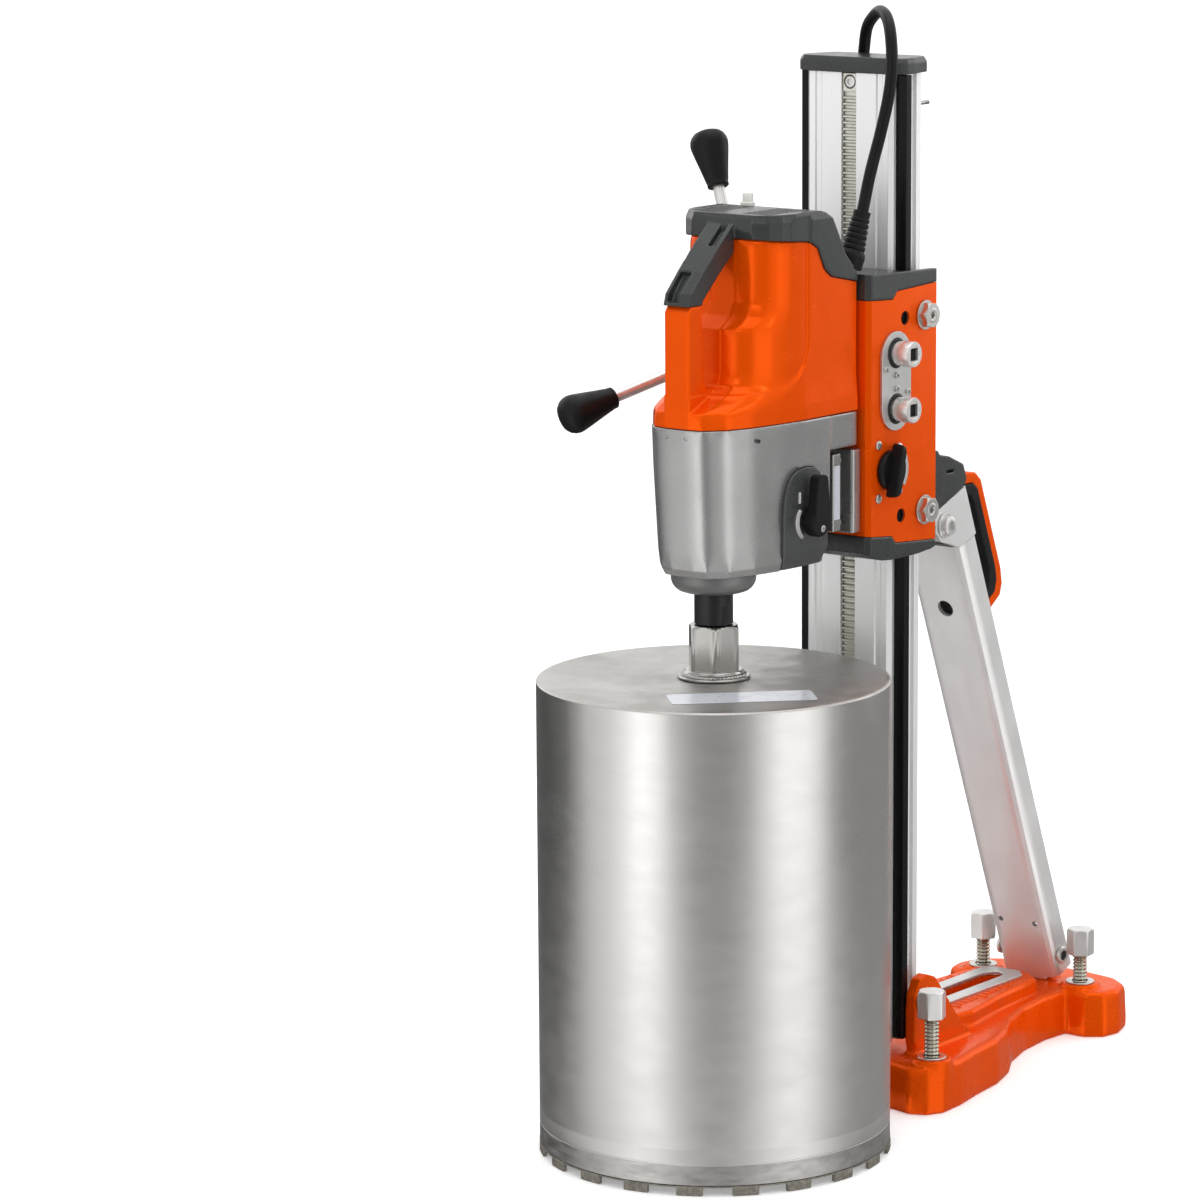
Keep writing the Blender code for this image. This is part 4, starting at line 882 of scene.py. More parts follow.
for side, node in ((1, "strut_bolt_right"), (-1, "strut_bolt_left")):
    stem = lathe(STRUT_BOLT, 48, place(0, STRUT_BOLT_Y, STRUT_TOP_Z))
    head = socket_screw(10.0, 6.6, 5.0, place(39.3, STRUT_BOLT_Y, STRUT_TOP_Z))
    stand_in(node, sided(join(stem, head), side), "bright_steel")

# ------------------------------------------------------------------ carriage
refine("carriage_housing", "orange_gloss", width=1.3, segments=4, smooth=30)
for node in ("carriage_cap_bottom", "carriage_cap_top"):
    remeshed(node, "grey_plastic_dark", voxel=0.85, rounds=6)
refine("shaft_plate", "shaft_plate_zinc", width=0.5)
PLATE_SCREWS = ((-70.0, 767.0), (-32.0, 741.5), (-51.5, 760.0), (-51.5, 746.5))  # y, z
screw_set("v_plate_screws", [(76.2, y, z) for y, z in PLATE_SCREWS],
          radius=3.1, height=2.2, socket=1.5)
screw_set("v_housing_screws", [(x, -79.0, z) for z in (692.0, 638.0) for x in (72.9, -72.9)],
          radius=4.6, height=2.4, socket=2.0)

# rollers on their axles; the axle profiles are radius and distance from the middle plane
AXLE_Y = 2.0
AXLE_STEM = [(0, 53.6), (5.5, 53.6), (6.0, 54.1), (6.0, 73.4), (14.6, 73.4), (15.0, 73.8),
             (15.0, 75.2), (14.6, 75.6), (0, 75.6)]
AXLE_RING = [(4.2, 83.2), (7.4, 83.2), (7.4, 83.8), (7.0, 84.0), (4.6, 84.0), (4.2, 83.8)]
for side, side_name in ((1, "right"), (-1, "left")):
    for axle_z, level in ((617.0, "low"), (815.0, "high")):
        axis = place(0, AXLE_Y, axle_z)
        head = hex_head(24.0, 8.4, place(75.3, AXLE_Y, axle_z), turn=0.4, chamfer=1.4, socket=3.2)
        axle = join(lathe(AXLE_STEM, 48, axis), head, lathe(AXLE_RING, 36, axis))
        stand_in("roller_axle_%s_%s" % (side_name, level), sided(axle, side), "zinc_plate", 32)
        node = "roller_%s_%s" % (side_name, level)
        low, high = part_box(node)
        radius = (high[2] - low[2]) / 2 * 1000
        profile = [(6.4, 54.7), (radius - 0.8, 54.7), (radius - 0.02, 55.5),
                   (radius - 0.02, 64.1), (radius - 0.8, 64.9), (6.4, 64.9)]
        axis = place(0, (high[1] + low[1]) / 2 * 1000, (high[2] + low[2]) / 2 * 1000)
        stand_in(node, sided(lathe(profile, 64, axis), side), "blackened_steel", 40)

# ------------------------------------------------------------------ feed shafts
# The small gear on the upper shaft meshes with the large gear on the lower one.
SHAFT_Y = -51.0
FEED_GEAR = dict(module=4.0, addendum=2.4, dedendum=3.6, thickness=4.2)
LARGE_TEETH, SMALL_TEETH = 18, 10
LOWER_Z = 726.0
UPPER_Z = LOWER_Z + FEED_GEAR["module"] * (LARGE_TEETH + SMALL_TEETH) / 2
LOWER, UPPER = (SHAFT_Y, LOWER_Z), (SHAFT_Y, UPPER_Z)
SHAFT_END = [(0, 76.6), (10.4, 76.6), (10.8, 77.0), (10.8, 79.0), (12.2, 79.6), (12.2, 84.6),
             (11.4, 85.0), (11.4, 86.4), (13.0, 87.0), (13.0, 97.0), (12.3, 98.0), (0, 98.0)]


def square_bar(z, left, right, half):
    return box((left, SHAFT_Y - half, z - half), (right, SHAFT_Y + half, z + half))


def shaft_end(z):
    """The turned right end of a feed shaft with its square hole."""
    axis = place(0, SHAFT_Y, z)
    lead_in = lathe([(0, 97.2), (8.2, 97.2), (9.2, 98.2), (9.2, 99), (0, 99)], 48, axis)
    return subtract(lathe(SHAFT_END, 64, axis), square_bar(z, 84.5, 104, 6.35), lead_in)


def shaft_rod(left, z):
    return lathe([(0, left), (10, left), (10.5, left + 0.5), (10.5, 77), (0, 77)], 48,
                 place(0, SHAFT_Y, z))


def feed_gear(teeth, phase, centre):
    return prism(gear(teeth, phase=phase, centre=centre, **FEED_GEAR), -82.5, -75.0)


rack_pinion = gear(26, module=2.0, addendum=1.7, dedendum=2.2, thickness=2.1, phase=0.0,
                   centre=LOWER)
stand_in("feed_shaft_lower",
         join(shaft_rod(-85, LOWER_Z), prism(rack_pinion, -7.6, 7.6),
              feed_gear(LARGE_TEETH, math.pi / 2, LOWER), shaft_end(LOWER_Z)), "bright_steel")
stand_in("feed_shaft_upper",
         join(shaft_rod(-113, UPPER_Z),
              feed_gear(SMALL_TEETH, -math.pi / 2 + math.pi / SMALL_TEETH, UPPER),
              shaft_end(UPPER_Z)), "bright_steel")
SHAFT_RING = [(11.2, 75.4), (14.6, 75.4), (15.0, 75.8), (15.0, 76.6), (14.4, 77.0), (11.8, 77.0),
              (11.2, 76.6)]
for z in (LOWER_Z, UPPER_Z):
    put("v_shaft_ring_%d" % z, lathe(SHAFT_RING, 64, place(0, SHAFT_Y, z)), "blackened_steel",
        "carriage", 40)
refine("gearbox_cover", "cast_silver", width=2.2, segments=4)
# shaft centre, distance from it, angle
COVER_SCREWS = ((UPPER, 21.5, 20), (UPPER, 21.5, 160), (LOWER, 36.0, 215), (LOWER, 36.0, 325))
screw_set("v_gearbox_screws",
          [(-88.6, centre[0] + radius * math.cos(math.radians(angle)),
            centre[1] + radius * math.sin(math.radians(angle)))
           for centre, radius, angle in COVER_SCREWS], radius=3.6, height=2.4, socket=1.7)

# ------------------------------------------------------------------ feed handle
ARM_LEAN = math.radians(23.0)    # of the arms, outward to the left
ARM_TURN = math.radians(-11.5)   # of the first arm about the shaft
ARM_REACH = 199.0
HUB_X = -104.0
HUB = [(10.8, -113.8), (16.0, -113.8), (17.0, -113.0), (20, -110.6), (20.0, -95.5),
       (20.6, -94.6), (23, -92.2), (23, -90.2), (22.6, -89.9), (10.8, -89.9)]
ARM = [(0, 15.2), (6.0, 15.2), (6.0, ARM_REACH - 24.2), (5.6, ARM_REACH - 20.3),
       (0, ARM_REACH - 20.3)]
ARM_COLLAR = [(0, 16), (8.4, 16), (9.2, 17.0), (9.2, 22.5), (8.2, 23.8), (6.0, 24.2), (0, 24.2)]
# radius, height past the arm's reach
KNOB = [(0, -19.6), (6.4, -19.6), (6.4, -31.4), (6.9, -32.8), (10.2, -33.0), (11.0, -32.4),
        (11.2, -30.4), (10.9, -29.6), (11.6, -27.0), (13.2, -19.0), (15.0, -10.5), (16.8, -2.5),
        (18.4, 5.0), (19.5, 10.5), (19.8, 14.5), (19.1, 18.6), (17.2, 22.4), (14.2, 25.4),
        (10.2, 27.1), (5.2, 27.8), (0, 28.0)]
crank = [lathe(HUB, 72, place(0, SHAFT_Y, UPPER_Z))]
for k in range(3):
    angle = ARM_TURN + k * 2 * math.pi / 3
    direction = Vector((-math.sin(ARM_LEAN), -math.cos(ARM_LEAN) * math.sin(angle),
                        math.cos(ARM_LEAN) * math.cos(angle)))
    axis = toward((HUB_X, SHAFT_Y, UPPER_Z), direction)
    crank += [lathe(ARM, 40, axis), lathe(ARM_COLLAR, 40, axis)]
    node = "crank_knob_%d" % (k + 1)
    knob = lathe([(radius, ARM_REACH + height) for radius, height in KNOB], 56, axis)
    fit_inside(stand_in(node, knob, "black_grip", 50, body="feed_crank"), node)
# black fillings of the square holes: painted shade, standing in for the shade deep inside the holes
for level, z in (("lower", LOWER_Z), ("upper", UPPER_Z)):
    put("v_socket_shade_" + level, square_bar(z, 84.7, 94.6, 6.2), "black_grip",
        BODY["feed_shaft_" + level], 30)
stand_in("crank_hub", join(*crank), "bright_steel", 40)

# ------------------------------------------------------------------ lock knob
# A disc with a finger wing, and its stop plate.
LOCK = (-61, 665)
LOCK_DISC = [(0, 64.6), (8.0, 64.6), (8.0, 73.5), (19.2, 73.5), (20.0, 74.4), (20.0, 76.4),
             (19.2, 78.2), (17.4, 79.5), (0, 79.5)]
WING = [(-73.0, 640.5), (-69.0, 638.5), (-64.5, 640.5), (-60.0, 657), (-52.5, 686.0),
        (-53.5, 690.6), (-57.5, 692.0), (-61.0, 690.5), (-66.5, 672)]  # y, z
WING_CENTRE = (-62.6, 665.5)
# x, width there; the length shrinks half as fast
WING_TAPER = ((78.6, 1.0), (80.0, 1.0), (88.0, 0.93), (91.0, 0.84), (92.0, 0.66))
wing = skin([[(x, WING_CENTRE[0] + (y - WING_CENTRE[0]) * width,
               WING_CENTRE[1] + (z - WING_CENTRE[1]) * (0.5 + width * 0.5)) for y, z in WING]
             for x, width in WING_TAPER])
lock_disc = lathe(LOCK_DISC, 72, place(0, *LOCK))
bevelled(stand_in("lock_knob", join(lock_disc, wing), "black_grip", 40), 1.0, angle=28)
refine("lock_plate", "blackened_steel", width=0.7)
screw_set("v_lock_screws",
          [(75.7, LOCK[0] + 26.2 * math.cos(angle), LOCK[1] + 26.2 * math.sin(angle))
           for angle in (1.0, -1.0)], radius=4.2, height=2.6, socket=1.9,
          material="bright_steel")
strip = prism(band(LOCK, inner=24.8, outer=29.0, first=-38, last=38, steps=14), 75.8, 78.0)
bevelled(put("v_lock_strip", strip, "shaft_plate_zinc", "carriage"), 0.4, 2)

# ------------------------------------------------------------------ drill mount
HOLE_PLUG = [(0, 66.2), (7.15, 66.2), (7.15, 71.2), (6.4, 71.2), (6.2, 67.4), (0, 67.2)]
plugs = [sided(lathe(HOLE_PLUG, 32, place(0, y, z)), side)
         for side in (1, -1) for y, z in ((-32.0, 815.0), (-38.0, 616.0))]
put("v_hole_plugs", join(*plugs), "blackened_steel", "carriage")
plate = box((57.6, -133.0, 622.0), (58.5, -123.0, 676.0))
bevelled(put("v_plain_plate", plate, "blank_label", "carriage", 30), 0.3, 2)
refine("mount_plate", "cast_silver", width=1.6, segments=4)
refine("motor_bracket", "cast_silver", width=1.4, segments=4)
bolts = [socket_screw(5.0, 4.0, 2.3, place(side * 51.5, -121.4, z, TO_BACK))
         for side in (-1, 1) for z in (618.0, 680.0)]
put("v_bracket_bolts", join(*bolts), "zinc_plate", "carriage")

# ------------------------------------------------------------------ gear case
SPINDLE_Y = -254.0


def case_weight(x, y, z):
    """The front of the case, between its lower and upper edges."""
    return ramp(y, -196, -216) * ramp(z, 594, 612) * ramp(z, 729.0, 722.0)


remeshed("gear_case", "cast_silver", voxel=1.05, rounds=5,
         relaxing=dict(rounds=320, weight=case_weight))
CASE_PLUG = [(0, 0), (1.7, 0), (2.2, 1.4), (1.9, 1.9), (1.3, 1.6), (0, 0.9)]
# position, then the outward direction in x and y, on the right
CASE_PLUGS = ((12.0, -313.2, 721.0, 0.12, -1), (58.0, -257.5, 716.0, 0.95, -0.32))
plugs = bmesh.new()
for side in (1, -1):
    for x, y, z, out_x, out_y in CASE_PLUGS:
        direction = Vector((side * out_x, out_y, 0)).normalized()
        start = Vector((side * x, y, z)) - direction * 1.6
        lathe(CASE_PLUG, 20, toward(start, direction), plugs)
put("v_case_plugs", plugs, "blackened_steel", "carriage", 40)
refine("gear_case_panel", "grey_plastic", width=0.9, angle=30, smooth=34)

# gear selector: a disc with a lever, on the right
SELECTOR = (-182.5, 629.0)
SELECTOR_DISC = [(0, 66.4), (13.2, 66.4), (15.0, 67.4), (15.0, 77.0), (14.2, 79.2),
                 (12.4, 80.4), (0, 80.6)]
# half width and height above the disc's centre
LEVER = [(12.8, 0), (11.6, 16), (8.6, 40.0), (7.4, 44.4), (4.4, 46.6), (0, 47.0)]
lever = [(SELECTOR[0] - half, SELECTOR[1] + height) for half, height in LEVER]
lever += [(SELECTOR[0] + half, SELECTOR[1] + height) for half, height in LEVER[-2::-1]]
selector = join(lathe(SELECTOR_DISC, 72, place(0, *SELECTOR)), prism(lever, 70.2, 81.4))
bevelled(stand_in("gear_selector", selector, "black_grip", 40), 1.3, 4, 30)
screw_set("v_selector_screw", [(80.2, SELECTOR[0], SELECTOR[1] - 6.5)],
          radius=3.4, height=1.2, socket=1.4, body="selector")

# the scale beside the selector: two plain raised arcs on the panel, and a bar
scale_arcs = bmesh.new()
for inner, outer in ((17.2, 18.0), (19.4, 20.0)):
    prism(band(SELECTOR, inner, outer, first=140, last=235, steps=22), 60.0, 64.6, bm=scale_arcs)
put("v_selector_scale", scale_arcs, "printed_mark", "carriage")
bar = box((62.0, SELECTOR[0] - 16.4, SELECTOR[1] + 19), (64.6, SELECTOR[0] - 14.8, SELECTOR[1] + 30))
put("v_selector_mark", bar, "printed_mark", "carriage")

# ------------------------------------------------------------------ motor housing and top
# Outline (y, z) within which a thin outer layer is taken off each side of the housing.
SIDE_LINE = [(-330, 760.5), (-240, 761.0), (-222, 762.5), (-208, 766.5), (-195, 774.0),
             (-186.0, 784.0), (-181.0, 796.0), (-179.0, 810.0), (-179.0, 945.0), (-330, 945.0)]
core = node_bm("motor_housing")
bmesh.ops.scale(core, vec=(0.960, 0.992, 1.0), verts=core.verts,
                space=Matrix.Translation((0, 165.0, 0)))
side_right = subtract(prism(SIDE_LINE, 14.0, 90.0), core)
side_left = sided(side_right.copy(), -1)
HOUSING_HOLE = [(0, -4), (2.7, -4), (3.2, 6), (3.6, 14), (0, 14)]
# position, then the outward direction in x and y, on the right
HOUSING_HOLES = ((29.0, -290.0, 768.0, 0.62, -0.78), (51.2, -253.5, 768.0, 0.93, -0.36))
holes = bmesh.new()
for x, y, z, out_x, out_y in HOUSING_HOLES:
    for side in (1, -1):
        direction = Vector((side * out_x, out_y, 0.0)).normalized()
        lathe(HOUSING_HOLE, 20, toward((side * x, y, z), direction), holes)


def housing_weight(x, y, z):
    """The front of the housing, either side of the middle and above the lower edge."""
    return ramp(y, -196, -214) * ramp(abs(x), 19, 26) * ramp(z, 730, 736)


remeshed("motor_housing", "orange_gloss", voxel=1.0, rounds=3,
         cut=[side_right, side_left, holes], relaxing=dict(rounds=200, weight=housing_weight))
# outlines (y, z) cut out of the top cover, each with its span in x
COVER_SIDE = [(-200, 840), (-179, 840), (-179, 945), (-212, 945), (-212, 840)]
COVER_FRONT = [(-330, 851.5), (-303.5, 851.5), (-301.0, 858.0), (-286.0, 874.5), (-292.5, 883.0),
               (-330, 883.0)]
COVER_TOP = [(-262.5, 897.0), (-241.5, 914.5), (-243.0, 935.0), (-268.0, 915.0)]
remeshed("top_cover", "grey_plastic_dark", voxel=0.9, rounds=3,
         cut=[prism(COVER_SIDE, 62.2, 90), prism(COVER_SIDE, -90, -62.2),
              prism(COVER_FRONT, -12.0, 2.0), prism(COVER_TOP, 1.5, 10.0)])

# clear inlet on the left of the cover
inlet = lathe([(0, 0), (6.0, 0), (6.2, 1), (6.2, 9), (7.4, 9.6), (7.4, 12.4), (5.4, 13.2),
               (5.4, 20.5), (4.6, 21.5), (3.2, 21.5), (3.2, 6), (0, 6)], 40,
              place(-38.0, -146.0, 921.0, UPRIGHT))
put("v_inlet", inlet, "clear_plastic", "carriage", 40)

# ------------------------------------------------------------------ works
refine("stator", "blackened_steel")
refine("rotor", "zinc_plate", width=0.4)
refine("layshaft", "zinc_plate", width=0.4)
spindle_axis = place(0, SPINDLE_Y, 0, UPRIGHT)
spindle = lathe([(0, 516.2), (11.4, 516.2), (12.0, 516.8), (12.0, 530.5), (18.4, 530.5),
                 (19.15, 531.3), (19.15, 694.4), (18.5, 695.0), (0, 695.0)], 96, spindle_axis)
# two flats at its lower end
spindle = subtract(spindle, box((16.6, -300, 531.0), (40, -200, 551)),
                   box((-40, -300, 531.0), (-16.6, -200, 551)))
spindle_gear = gear(16, module=4.0, addendum=2.2, dedendum=3.2, thickness=4.0,
                    phase=math.pi / 2 + math.pi / 16, centre=(0, SPINDLE_Y))
stand_in("spindle", join(spindle, prism(spindle_gear, 640.0, 655.0, "z")), "blackened_steel")
nose = lathe([(19.9, 562.7), (26.0, 562.7), (30.5, 563.3), (34.8, 564.8), (38.2, 567.5),
              (40.3, 570.4), (41.5, 573.6), (41.95, 576.4), (41.95, 582.0), (27.1, 582.1),
              (27.1, 590.8), (19.9, 590.8)], 128, spindle_axis)
stand_in("bearing_nose", nose, "nose_grey", 40, body="carriage")

# bit hub: a bored hexagon on a flange, with a rippled weld bead round its foot
hub_hex = hex_head(46.8, 46.4, place(0, SPINDLE_Y, 483.5, UPRIGHT), turn=math.radians(42),
                   chamfer=2.6)
bore = lathe([(0, 512.0), (12.3, 512.0), (12.3, 528.2), (14.2, 531), (0, 531)], 64, spindle_axis)
hub_hex = subtract(hub_hex, bore)
flange = lathe([(0, 477.05), (35.4, 477.05), (36.0, 477.6), (36.0, 478.8), (35.2, 479.6),
                (31.6, 480.2), (30.4, 481.6), (29.3, 484.0), (28.0, 485.2), (0, 485.4)],
               128, spindle_axis)
WELD_RADIUS, WELD_Z = 29.6, 480.6
WELD_STEPS, WELD_SIDES = 220, 12
rings = []
for i in range(WELD_STEPS):
    around_hub = 2 * math.pi * i / WELD_STEPS
    ripple = 1.0 + 0.22 * abs(math.sin(around_hub * 27)) + 0.08 * math.sin(around_hub * 5 + 1)
    ring = []
    for j in range(WELD_SIDES):
        angle = 2 * math.pi * j / WELD_SIDES
        radius = WELD_RADIUS + 2.6 * ripple * math.cos(angle)
        ring.append((radius * math.cos(around_hub), SPINDLE_Y + radius * math.sin(around_hub),
                     WELD_Z + 1.9 * ripple * math.sin(angle)))
    rings.append(ring)
stand_in("bit_hub", join(hub_hex, flange, skin(rings, loop=True)), "hub_steel", 32)

# ------------------------------------------------------------------ core bit
BIT_SIDES = 360
BIT_TOP = 476.4
BARREL = [(0, BIT_TOP), (34, BIT_TOP), (60, 476.35), (120, 476.3), (166, 476.2), (171.0, 476.1),
          (172.8, 475.9), (174.0, 475.2), (174.8, 474.2), (175, 472.8), (175, 400), (175, 300),
          (175, 200), (175, 100), (175, 46.5), (174.86, 46.0), (174.86, 44.6), (175, 44.1),
          (175, 31.6), (174.7, 31.1), (174.7, 30.2), (175.0, 29.7), (175, 10.6),
          (174.6, 10.05), (172.6, 10.05), (172.2, 10.6), (172.2, 200), (172.2, 468.0),
          (170.0, 470.4), (60, 470.4), (0, 470.4)]
barrel = stand_in("bit_barrel", lathe(BARREL, BIT_SIDES, spindle_axis),
                  ["bit_tube", "bit_top", "bit_band"], 30)
for face in barrel.data.polygons:
    height = face.center.z * 1000
    if height > 474.6:
        face.material_index = 1
    elif height < 30.5:
        face.material_index = 2

# segment crown: a thin ring with ridged cutting segments under it
SEGMENTS, SEGMENT_STEPS = 20, 28
FIRST_SEGMENT, HALF_SEGMENT = 10.9, 4.25  # degrees
INNER, OUTER = 171.45, 175.85
crown = lathe([(171.6, 8.2), (175.4, 8.2), (175.4, 9.65), (171.6, 9.65)], BIT_SIDES, spindle_axis)
for k in range(SEGMENTS):
    middle = math.radians(FIRST_SEGMENT + 360 // SEGMENTS * k)
    half = math.radians(HALF_SEGMENT)
    rings = []
    for i in range(SEGMENT_STEPS + 1):
        angle = middle - half + 2 * half * i / SEGMENT_STEPS
        ridge = 0.28 if i % 4 in (0, 1) else 0.0
        low = 0.75 if i in (0, SEGMENT_STEPS) else 0.25
        section = ((INNER + ridge, low + 0.5), (INNER + 0.6, low - 0.22),
                   (OUTER - 0.6, low - 0.22), (OUTER - ridge, low + 0.5), (OUTER - ridge, 9.2),
                   (OUTER - 0.5, 9.66), (INNER + 0.5, 9.66), (INNER + ridge, 9.2))
        rings.append([(radius * math.cos(angle), SPINDLE_Y + radius * math.sin(angle), z)
                      for radius, z in section])
    skin(rings, bm=crown)
stand_in("segment_crown", crown, ["diamond_segment", "bit_band"])

# a plain sticker with rounded corners on the top of the bit
LABEL_CENTRE = Vector((82.0, -318.0))
LABEL_HALF = (66, 19)  # to the centres of the corners
LABEL_CORNER = 5
along = Vector((0.70, 0.714)).normalized()
across = Vector((along.y, -along.x))
outline = []
for sign_x, sign_y, first in ((1, 1, 0), (-1, 1, 90), (-1, -1, 180), (1, -1, 270)):
    corner = (sign_x * LABEL_HALF[0], sign_y * LABEL_HALF[1])
    outline += [LABEL_CENTRE + along * x + across * y
                for x, y in arc(corner, LABEL_CORNER, first, first + 90, 6)]
put("v_bit_label", prism(outline, BIT_TOP, 476.62, "z"), "blank_label", "spindle",
    30)

# ------------------------------------------------------------------ cable
GLAND_START, GLAND_END = Vector((52.0, -103.0, 862.0)), Vector((57.0, -84.0, 925.0))
gland_line = GLAND_END - GLAND_START
gland_length = gland_line.length
profile = [(6.5, 8.2), (12.3, 8.2), (12.6, 10), (13.3, 19.0), (13.3, 21.0), (12.4, 24.0)]
for k in range(6):
    # one rib of the sleeve
    height = 27.0 + k * 5.6
    radius = 11.6 - k * 0.46
    profile += [(radius - 0.9, height), (radius, height + 0.8), (radius - 0.1, height + 3.4),
                (radius - 1.0, height + 4.2)]
profile += [(8.8, gland_length - 0.6), (8.2, gland_length - 0.1), (6.5, gland_length - 0.1)]
stand_in("cable_gland", lathe(profile, 48, toward(GLAND_START, gland_line)), "black_grip", 40,
         body="carriage")

# The cable parts at its highest point: behind it stays on the column, and the front half
# is left unattached.
CABLE_PATH = [GLAND_START + gland_line * 0.2, GLAND_END, (60, -75, 962), (65, -64, 1003),
              (69, -56, 1040), (68, -50, 1070), (60, -41, 1097), (45, -26, 1112),
              (24, -6, 1116.7), (2, 15, 1112), (-20, 32, 1097), (-32, 43, 1070),
              (-35.5, 42, 1040), (-35.5, 36.5, 1000), (-35.5, 36, 900), (-35.5, 36, 790.2)]
front = sweep(CABLE_PATH, radius=5.95, sides=28, steps=10)
rear = front.copy()
for half, keep in ((front, {"clear_outer": True}), (rear, {"clear_inner": True})):
    bmesh.ops.bisect_plane(half, geom=half.verts[:] + half.edges[:] + half.faces[:],
                           plane_co=(0, -6, 0), plane_no=(0, 1, 0), **keep)
    bmesh.ops.holes_fill(half, edges=[edge for edge in half.edges if edge.is_boundary], sides=0)
fit_inside(put("v_power_cable_rear", rear, "cable_rubber", "column", 60),
           "power_cable")
mesh = to_mesh("v_power_cable", front)
mesh.materials.append(MATERIALS["cable_rubber"])
mesh.shade_smooth()
cable = link_object("v_power_cable", mesh)
fit_inside(cable, "power_cable")
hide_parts("power_cable")
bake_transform(cable)

# ------------------------------------------------------------------ the frame's own meshes
for node, ob in NODES.items():
    ob.data.materials.clear()
    ob.data.materials.append(MATERIALS[SLOT_MATERIAL[SLOT[node]]])

# ------------------------------------------------------------------ floor, in metres
# It runs level under the rig and sweeps up behind it as the camera sees it.
floor_white = Material("floor_white", color=(0.93, 0.93, 0.93), metallic=0, rough=0.55, spec=0.25)
floor_white.vary_rough(low=0.5, high=0.62, scale=3)
floor_white.bump(strength=0.01, depth=0.0002, scale=800, detail=2)
SWEEP_START, SWEEP_RADIUS = 2.2, 1.2
AWAY, ACROSS = Vector((-0.591, 0.806, 0)), Vector((0.806, 0.591, 0))
section = [(-4.0, 0.0)]  # distance away from the camera, height
for i in range(21):
    angle = math.pi / 2 * i / 20
    section.append((SWEEP_START + SWEEP_RADIUS * math.sin(angle),
                    SWEEP_RADIUS - SWEEP_RADIUS * math.cos(angle)))
section.append((SWEEP_START + SWEEP_RADIUS, 6.0))
bm = bmesh.new()
rows = [[bm.verts.new(AWAY * (distance + 0.6) + ACROSS * offset + Vector((0, 0, z - 0.0004)))
         for offset in (-9, -3, 0, 3, 9)] for distance, z in section]
for lower, upper in zip(rows, rows[1:]):
    for i in range(4):
        bm.faces.new((lower[i], lower[i + 1], upper[i + 1], upper[i]))
mesh = bpy.data.meshes.new("floor")
bm.to_mesh(mesh)
bm.free()
mesh.shade_smooth()
mesh.materials.append(MATERIALS["floor_white"])
link_object("floor", mesh)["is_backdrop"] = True

# ------------------------------------------------------------------ lights
CAMERA_AZIMUTH = -54.7  # degrees, of the camera as seen from the rig


def panel(name, location, width, height, level, target=(0, -0.1, 0.5)):
    """An area light whose face has this brightness."""
    light = bpy.data.lights.new(name, "AREA")
    light.shape = "RECTANGLE"
    light.size = width
    light.size_y = height
    light.energy = level * math.pi * width * height
    ob = link_object(name, light)
    ob.location = location
    ob.rotation_euler = (Vector(target) - Vector(location)).to_track_quat("-Z", "Y").to_euler()


def around(azimuth, distance, z):
    """A place at this azimuth, measured from the camera's own direction to the right."""
    angle = math.radians(CAMERA_AZIMUTH + azimuth)
    return (distance * math.cos(angle), distance * math.sin(angle), z)


panel("top", (0.1, -0.1, 2.9), width=2.4, height=2.4, level=1.1, target=(0, -0.1, 0))
panel("front_high", around(azimuth=-20, distance=3.4, z=2.7), width=1.6, height=0.8, level=2.6)
panel("side_high", around(azimuth=60, distance=3.0, z=2.4), width=1.2, height=0.9, level=2.2)
panel("rim_left", around(azimuth=-128, distance=2.4, z=1.3), width=0.9, height=2.0, level=0.9)
panel("rim_right", around(azimuth=118, distance=2.4, z=1.3), width=0.9, height=2.0, level=1.3)

# ------------------------------------------------------------------ room
# Brightness of the room, low down and high up: azimuth from the camera, level.
LOW = ((-180, 0.12), (-135, 0.10), (-110, 0.17), (-98, 0.42), (-86, 0.84), (-70, 0.98),
       (-58, 1.3), (-47, 1.95), (-37, 1.65), (-22, 0.72), (-8, 0.42), (8, 0.38), (22, 0.55),
       (34, 1.05), (46, 1.6), (62, 1.6), (73, 1.2), (84, 0.55), (96, 0.36), (130, 0.34),
       (180, 0.24))
HIGH = ((-180, 1.25), (-130, 1.2), (-100, 0.8), (-70, 0.95), (-45, 1.25), (-20, 0.55),
        (15, 0.5), (45, 1.2), (75, 0.95), (105, 0.8), (135, 1.2), (180, 1.25))
ROOM_STRENGTH = 2.0  # the levels are stored divided by this


def level_ramp(tree, table, turn):
    node = add_node(tree, "ValToRGB")
    node.color_ramp.interpolation = "EASE"
    stops = node.color_ramp.elements
    while len(stops) > 1:
        stops.remove(stops[0])
    for k, (azimuth, level) in enumerate(table):
        position = (azimuth + 180) / 360
        stop = stops.new(position) if k else stops[0]
        stop.position = position
        stop.color = (*[level / ROOM_STRENGTH] * 3, 1)
    tree.links.new(turn, node.inputs["Fac"])
    return node.outputs["Color"]


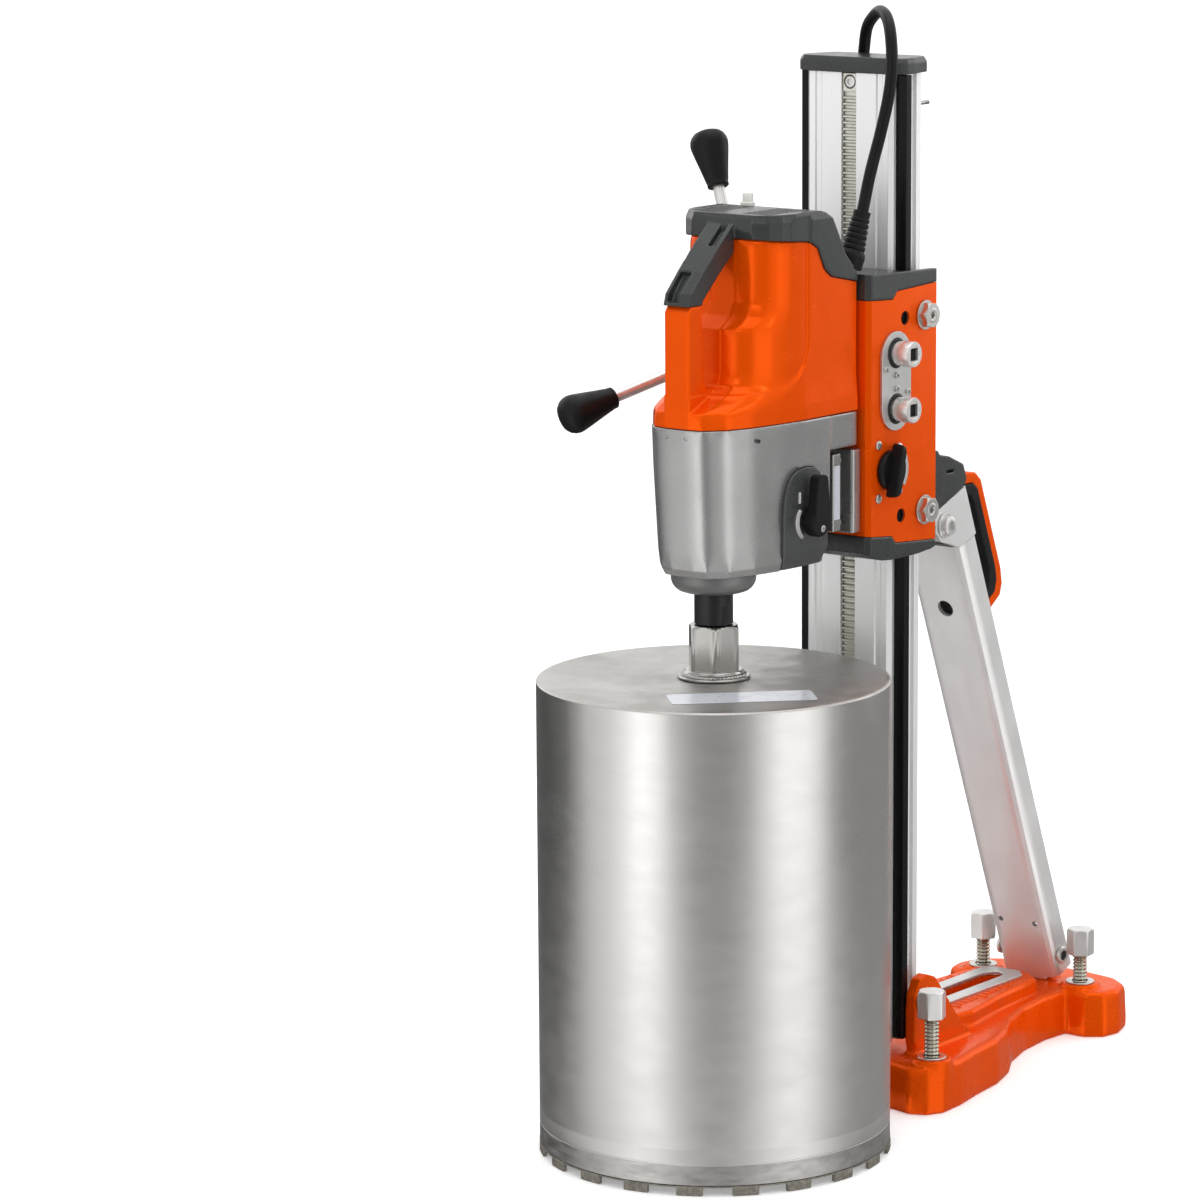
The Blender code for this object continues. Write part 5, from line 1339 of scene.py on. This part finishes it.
def studio(tree, direction):
    """Brightness of the room in a direction, blended from LOW to HIGH near the horizon."""
    link = tree.links.new
    rotate = add_node(tree, "VectorRotate", rotation_type="Z_AXIS",
                      Angle=math.radians(-CAMERA_AZIMUTH))
    link(direction, rotate.inputs["Vector"])
    axes = add_node(tree, "SeparateXYZ")
    link(rotate.outputs[0], axes.inputs[0])
    azimuth = add_node(tree, "Math", operation="ARCTAN2")
    link(axes.outputs["Y"], azimuth.inputs[0])
    link(axes.outputs["X"], azimuth.inputs[1])
    turn = add_node(tree, "MapRange", **{"From Min": -math.pi, "From Max": math.pi})
    link(azimuth.outputs[0], turn.inputs["Value"])
    low = level_ramp(tree, LOW, turn.outputs["Result"])
    high = level_ramp(tree, HIGH, turn.outputs["Result"])
    rise = add_node(tree, "MapRange", interpolation_type="SMOOTHSTEP",
                    **{"From Min": -0.05, "From Max": 0.16})
    link(axes.outputs["Z"], rise.inputs["Value"])
    mix = add_node(tree, "Mix", data_type="RGBA")
    link(rise.outputs["Result"], mix.inputs["Factor"])
    link(low, rgba(mix.inputs, "A"))
    link(high, rgba(mix.inputs, "B"))
    return rgba(mix.outputs, "Result")


# the camera itself sees an even white
world = bpy.data.worlds.new("studio")
world.use_nodes = True
tree = world.node_tree
background = tree.nodes["Background"]
coords = add_node(tree, "TexCoord")
rays = add_node(tree, "LightPath")
mix = add_node(tree, "Mix", data_type="RGBA")
tree.links.new(studio(tree, coords.outputs["Generated"]), rgba(mix.inputs, "A"))
rgba(mix.inputs, "B").default_value = (0.5, 0.5, 0.5, 1)
tree.links.new(rays.outputs["Is Camera Ray"], mix.inputs["Factor"])
tree.links.new(rgba(mix.outputs, "Result"), background.inputs["Color"])
background.inputs["Strength"].default_value = ROOM_STRENGTH
scene.world = world

# the floor looks white to the camera; polished metal sees the studio in it
tree = floor_white.tree
link = floor_white.link
surface = floor_white.bsdf.outputs[0]
rays = add_node(tree, "LightPath")
glow = add_node(tree, "Emission", Color=(1, 1, 1, 1), Strength=0.30)
lifted = add_node(tree, "AddShader")
seen = add_node(tree, "MixShader")
final = add_node(tree, "MixShader")
geometry = add_node(tree, "NewGeometry")
negate = add_node(tree, "VectorMath", operation="SCALE", Scale=-1.0)
link(geometry.outputs["Incoming"], negate.inputs[0])
room = add_node(tree, "Emission", Strength=ROOM_STRENGTH)
link(studio(tree, negate.outputs[0]), room.inputs["Color"])
link(surface, lifted.inputs[0])
link(glow.outputs[0], lifted.inputs[1])
link(rays.outputs["Is Camera Ray"], seen.inputs[0])
link(surface, seen.inputs[1])
link(lifted.outputs[0], seen.inputs[2])
link(rays.outputs["Is Glossy Ray"], final.inputs[0])
link(seen.outputs[0], final.inputs[1])
link(room.outputs[0], final.inputs[2])
link(final.outputs[0], tree.nodes["Material Output"].inputs["Surface"])

# ------------------------------------------------------------------ camera
camera_data = bpy.data.cameras.new("camera")
camera_data.lens = 143.22
camera_data.sensor_width = 36.0
camera_data.shift_x = -0.15225
camera_data.clip_end = 60
camera = bpy.data.objects.new("camera", camera_data)
camera.location = (2.77821, -3.92834, 1.39348)
camera.rotation_euler = (math.pi / 2 - 0.1804, 0, 0.6327)  # tipped down, turned to the left
scene.collection.objects.link(camera)
scene.camera = camera
scene.view_settings.view_transform = "Standard"
scene.view_settings.look = "None"
scene.view_settings.exposure = 0.0

size["before_finish"] = plain(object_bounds())
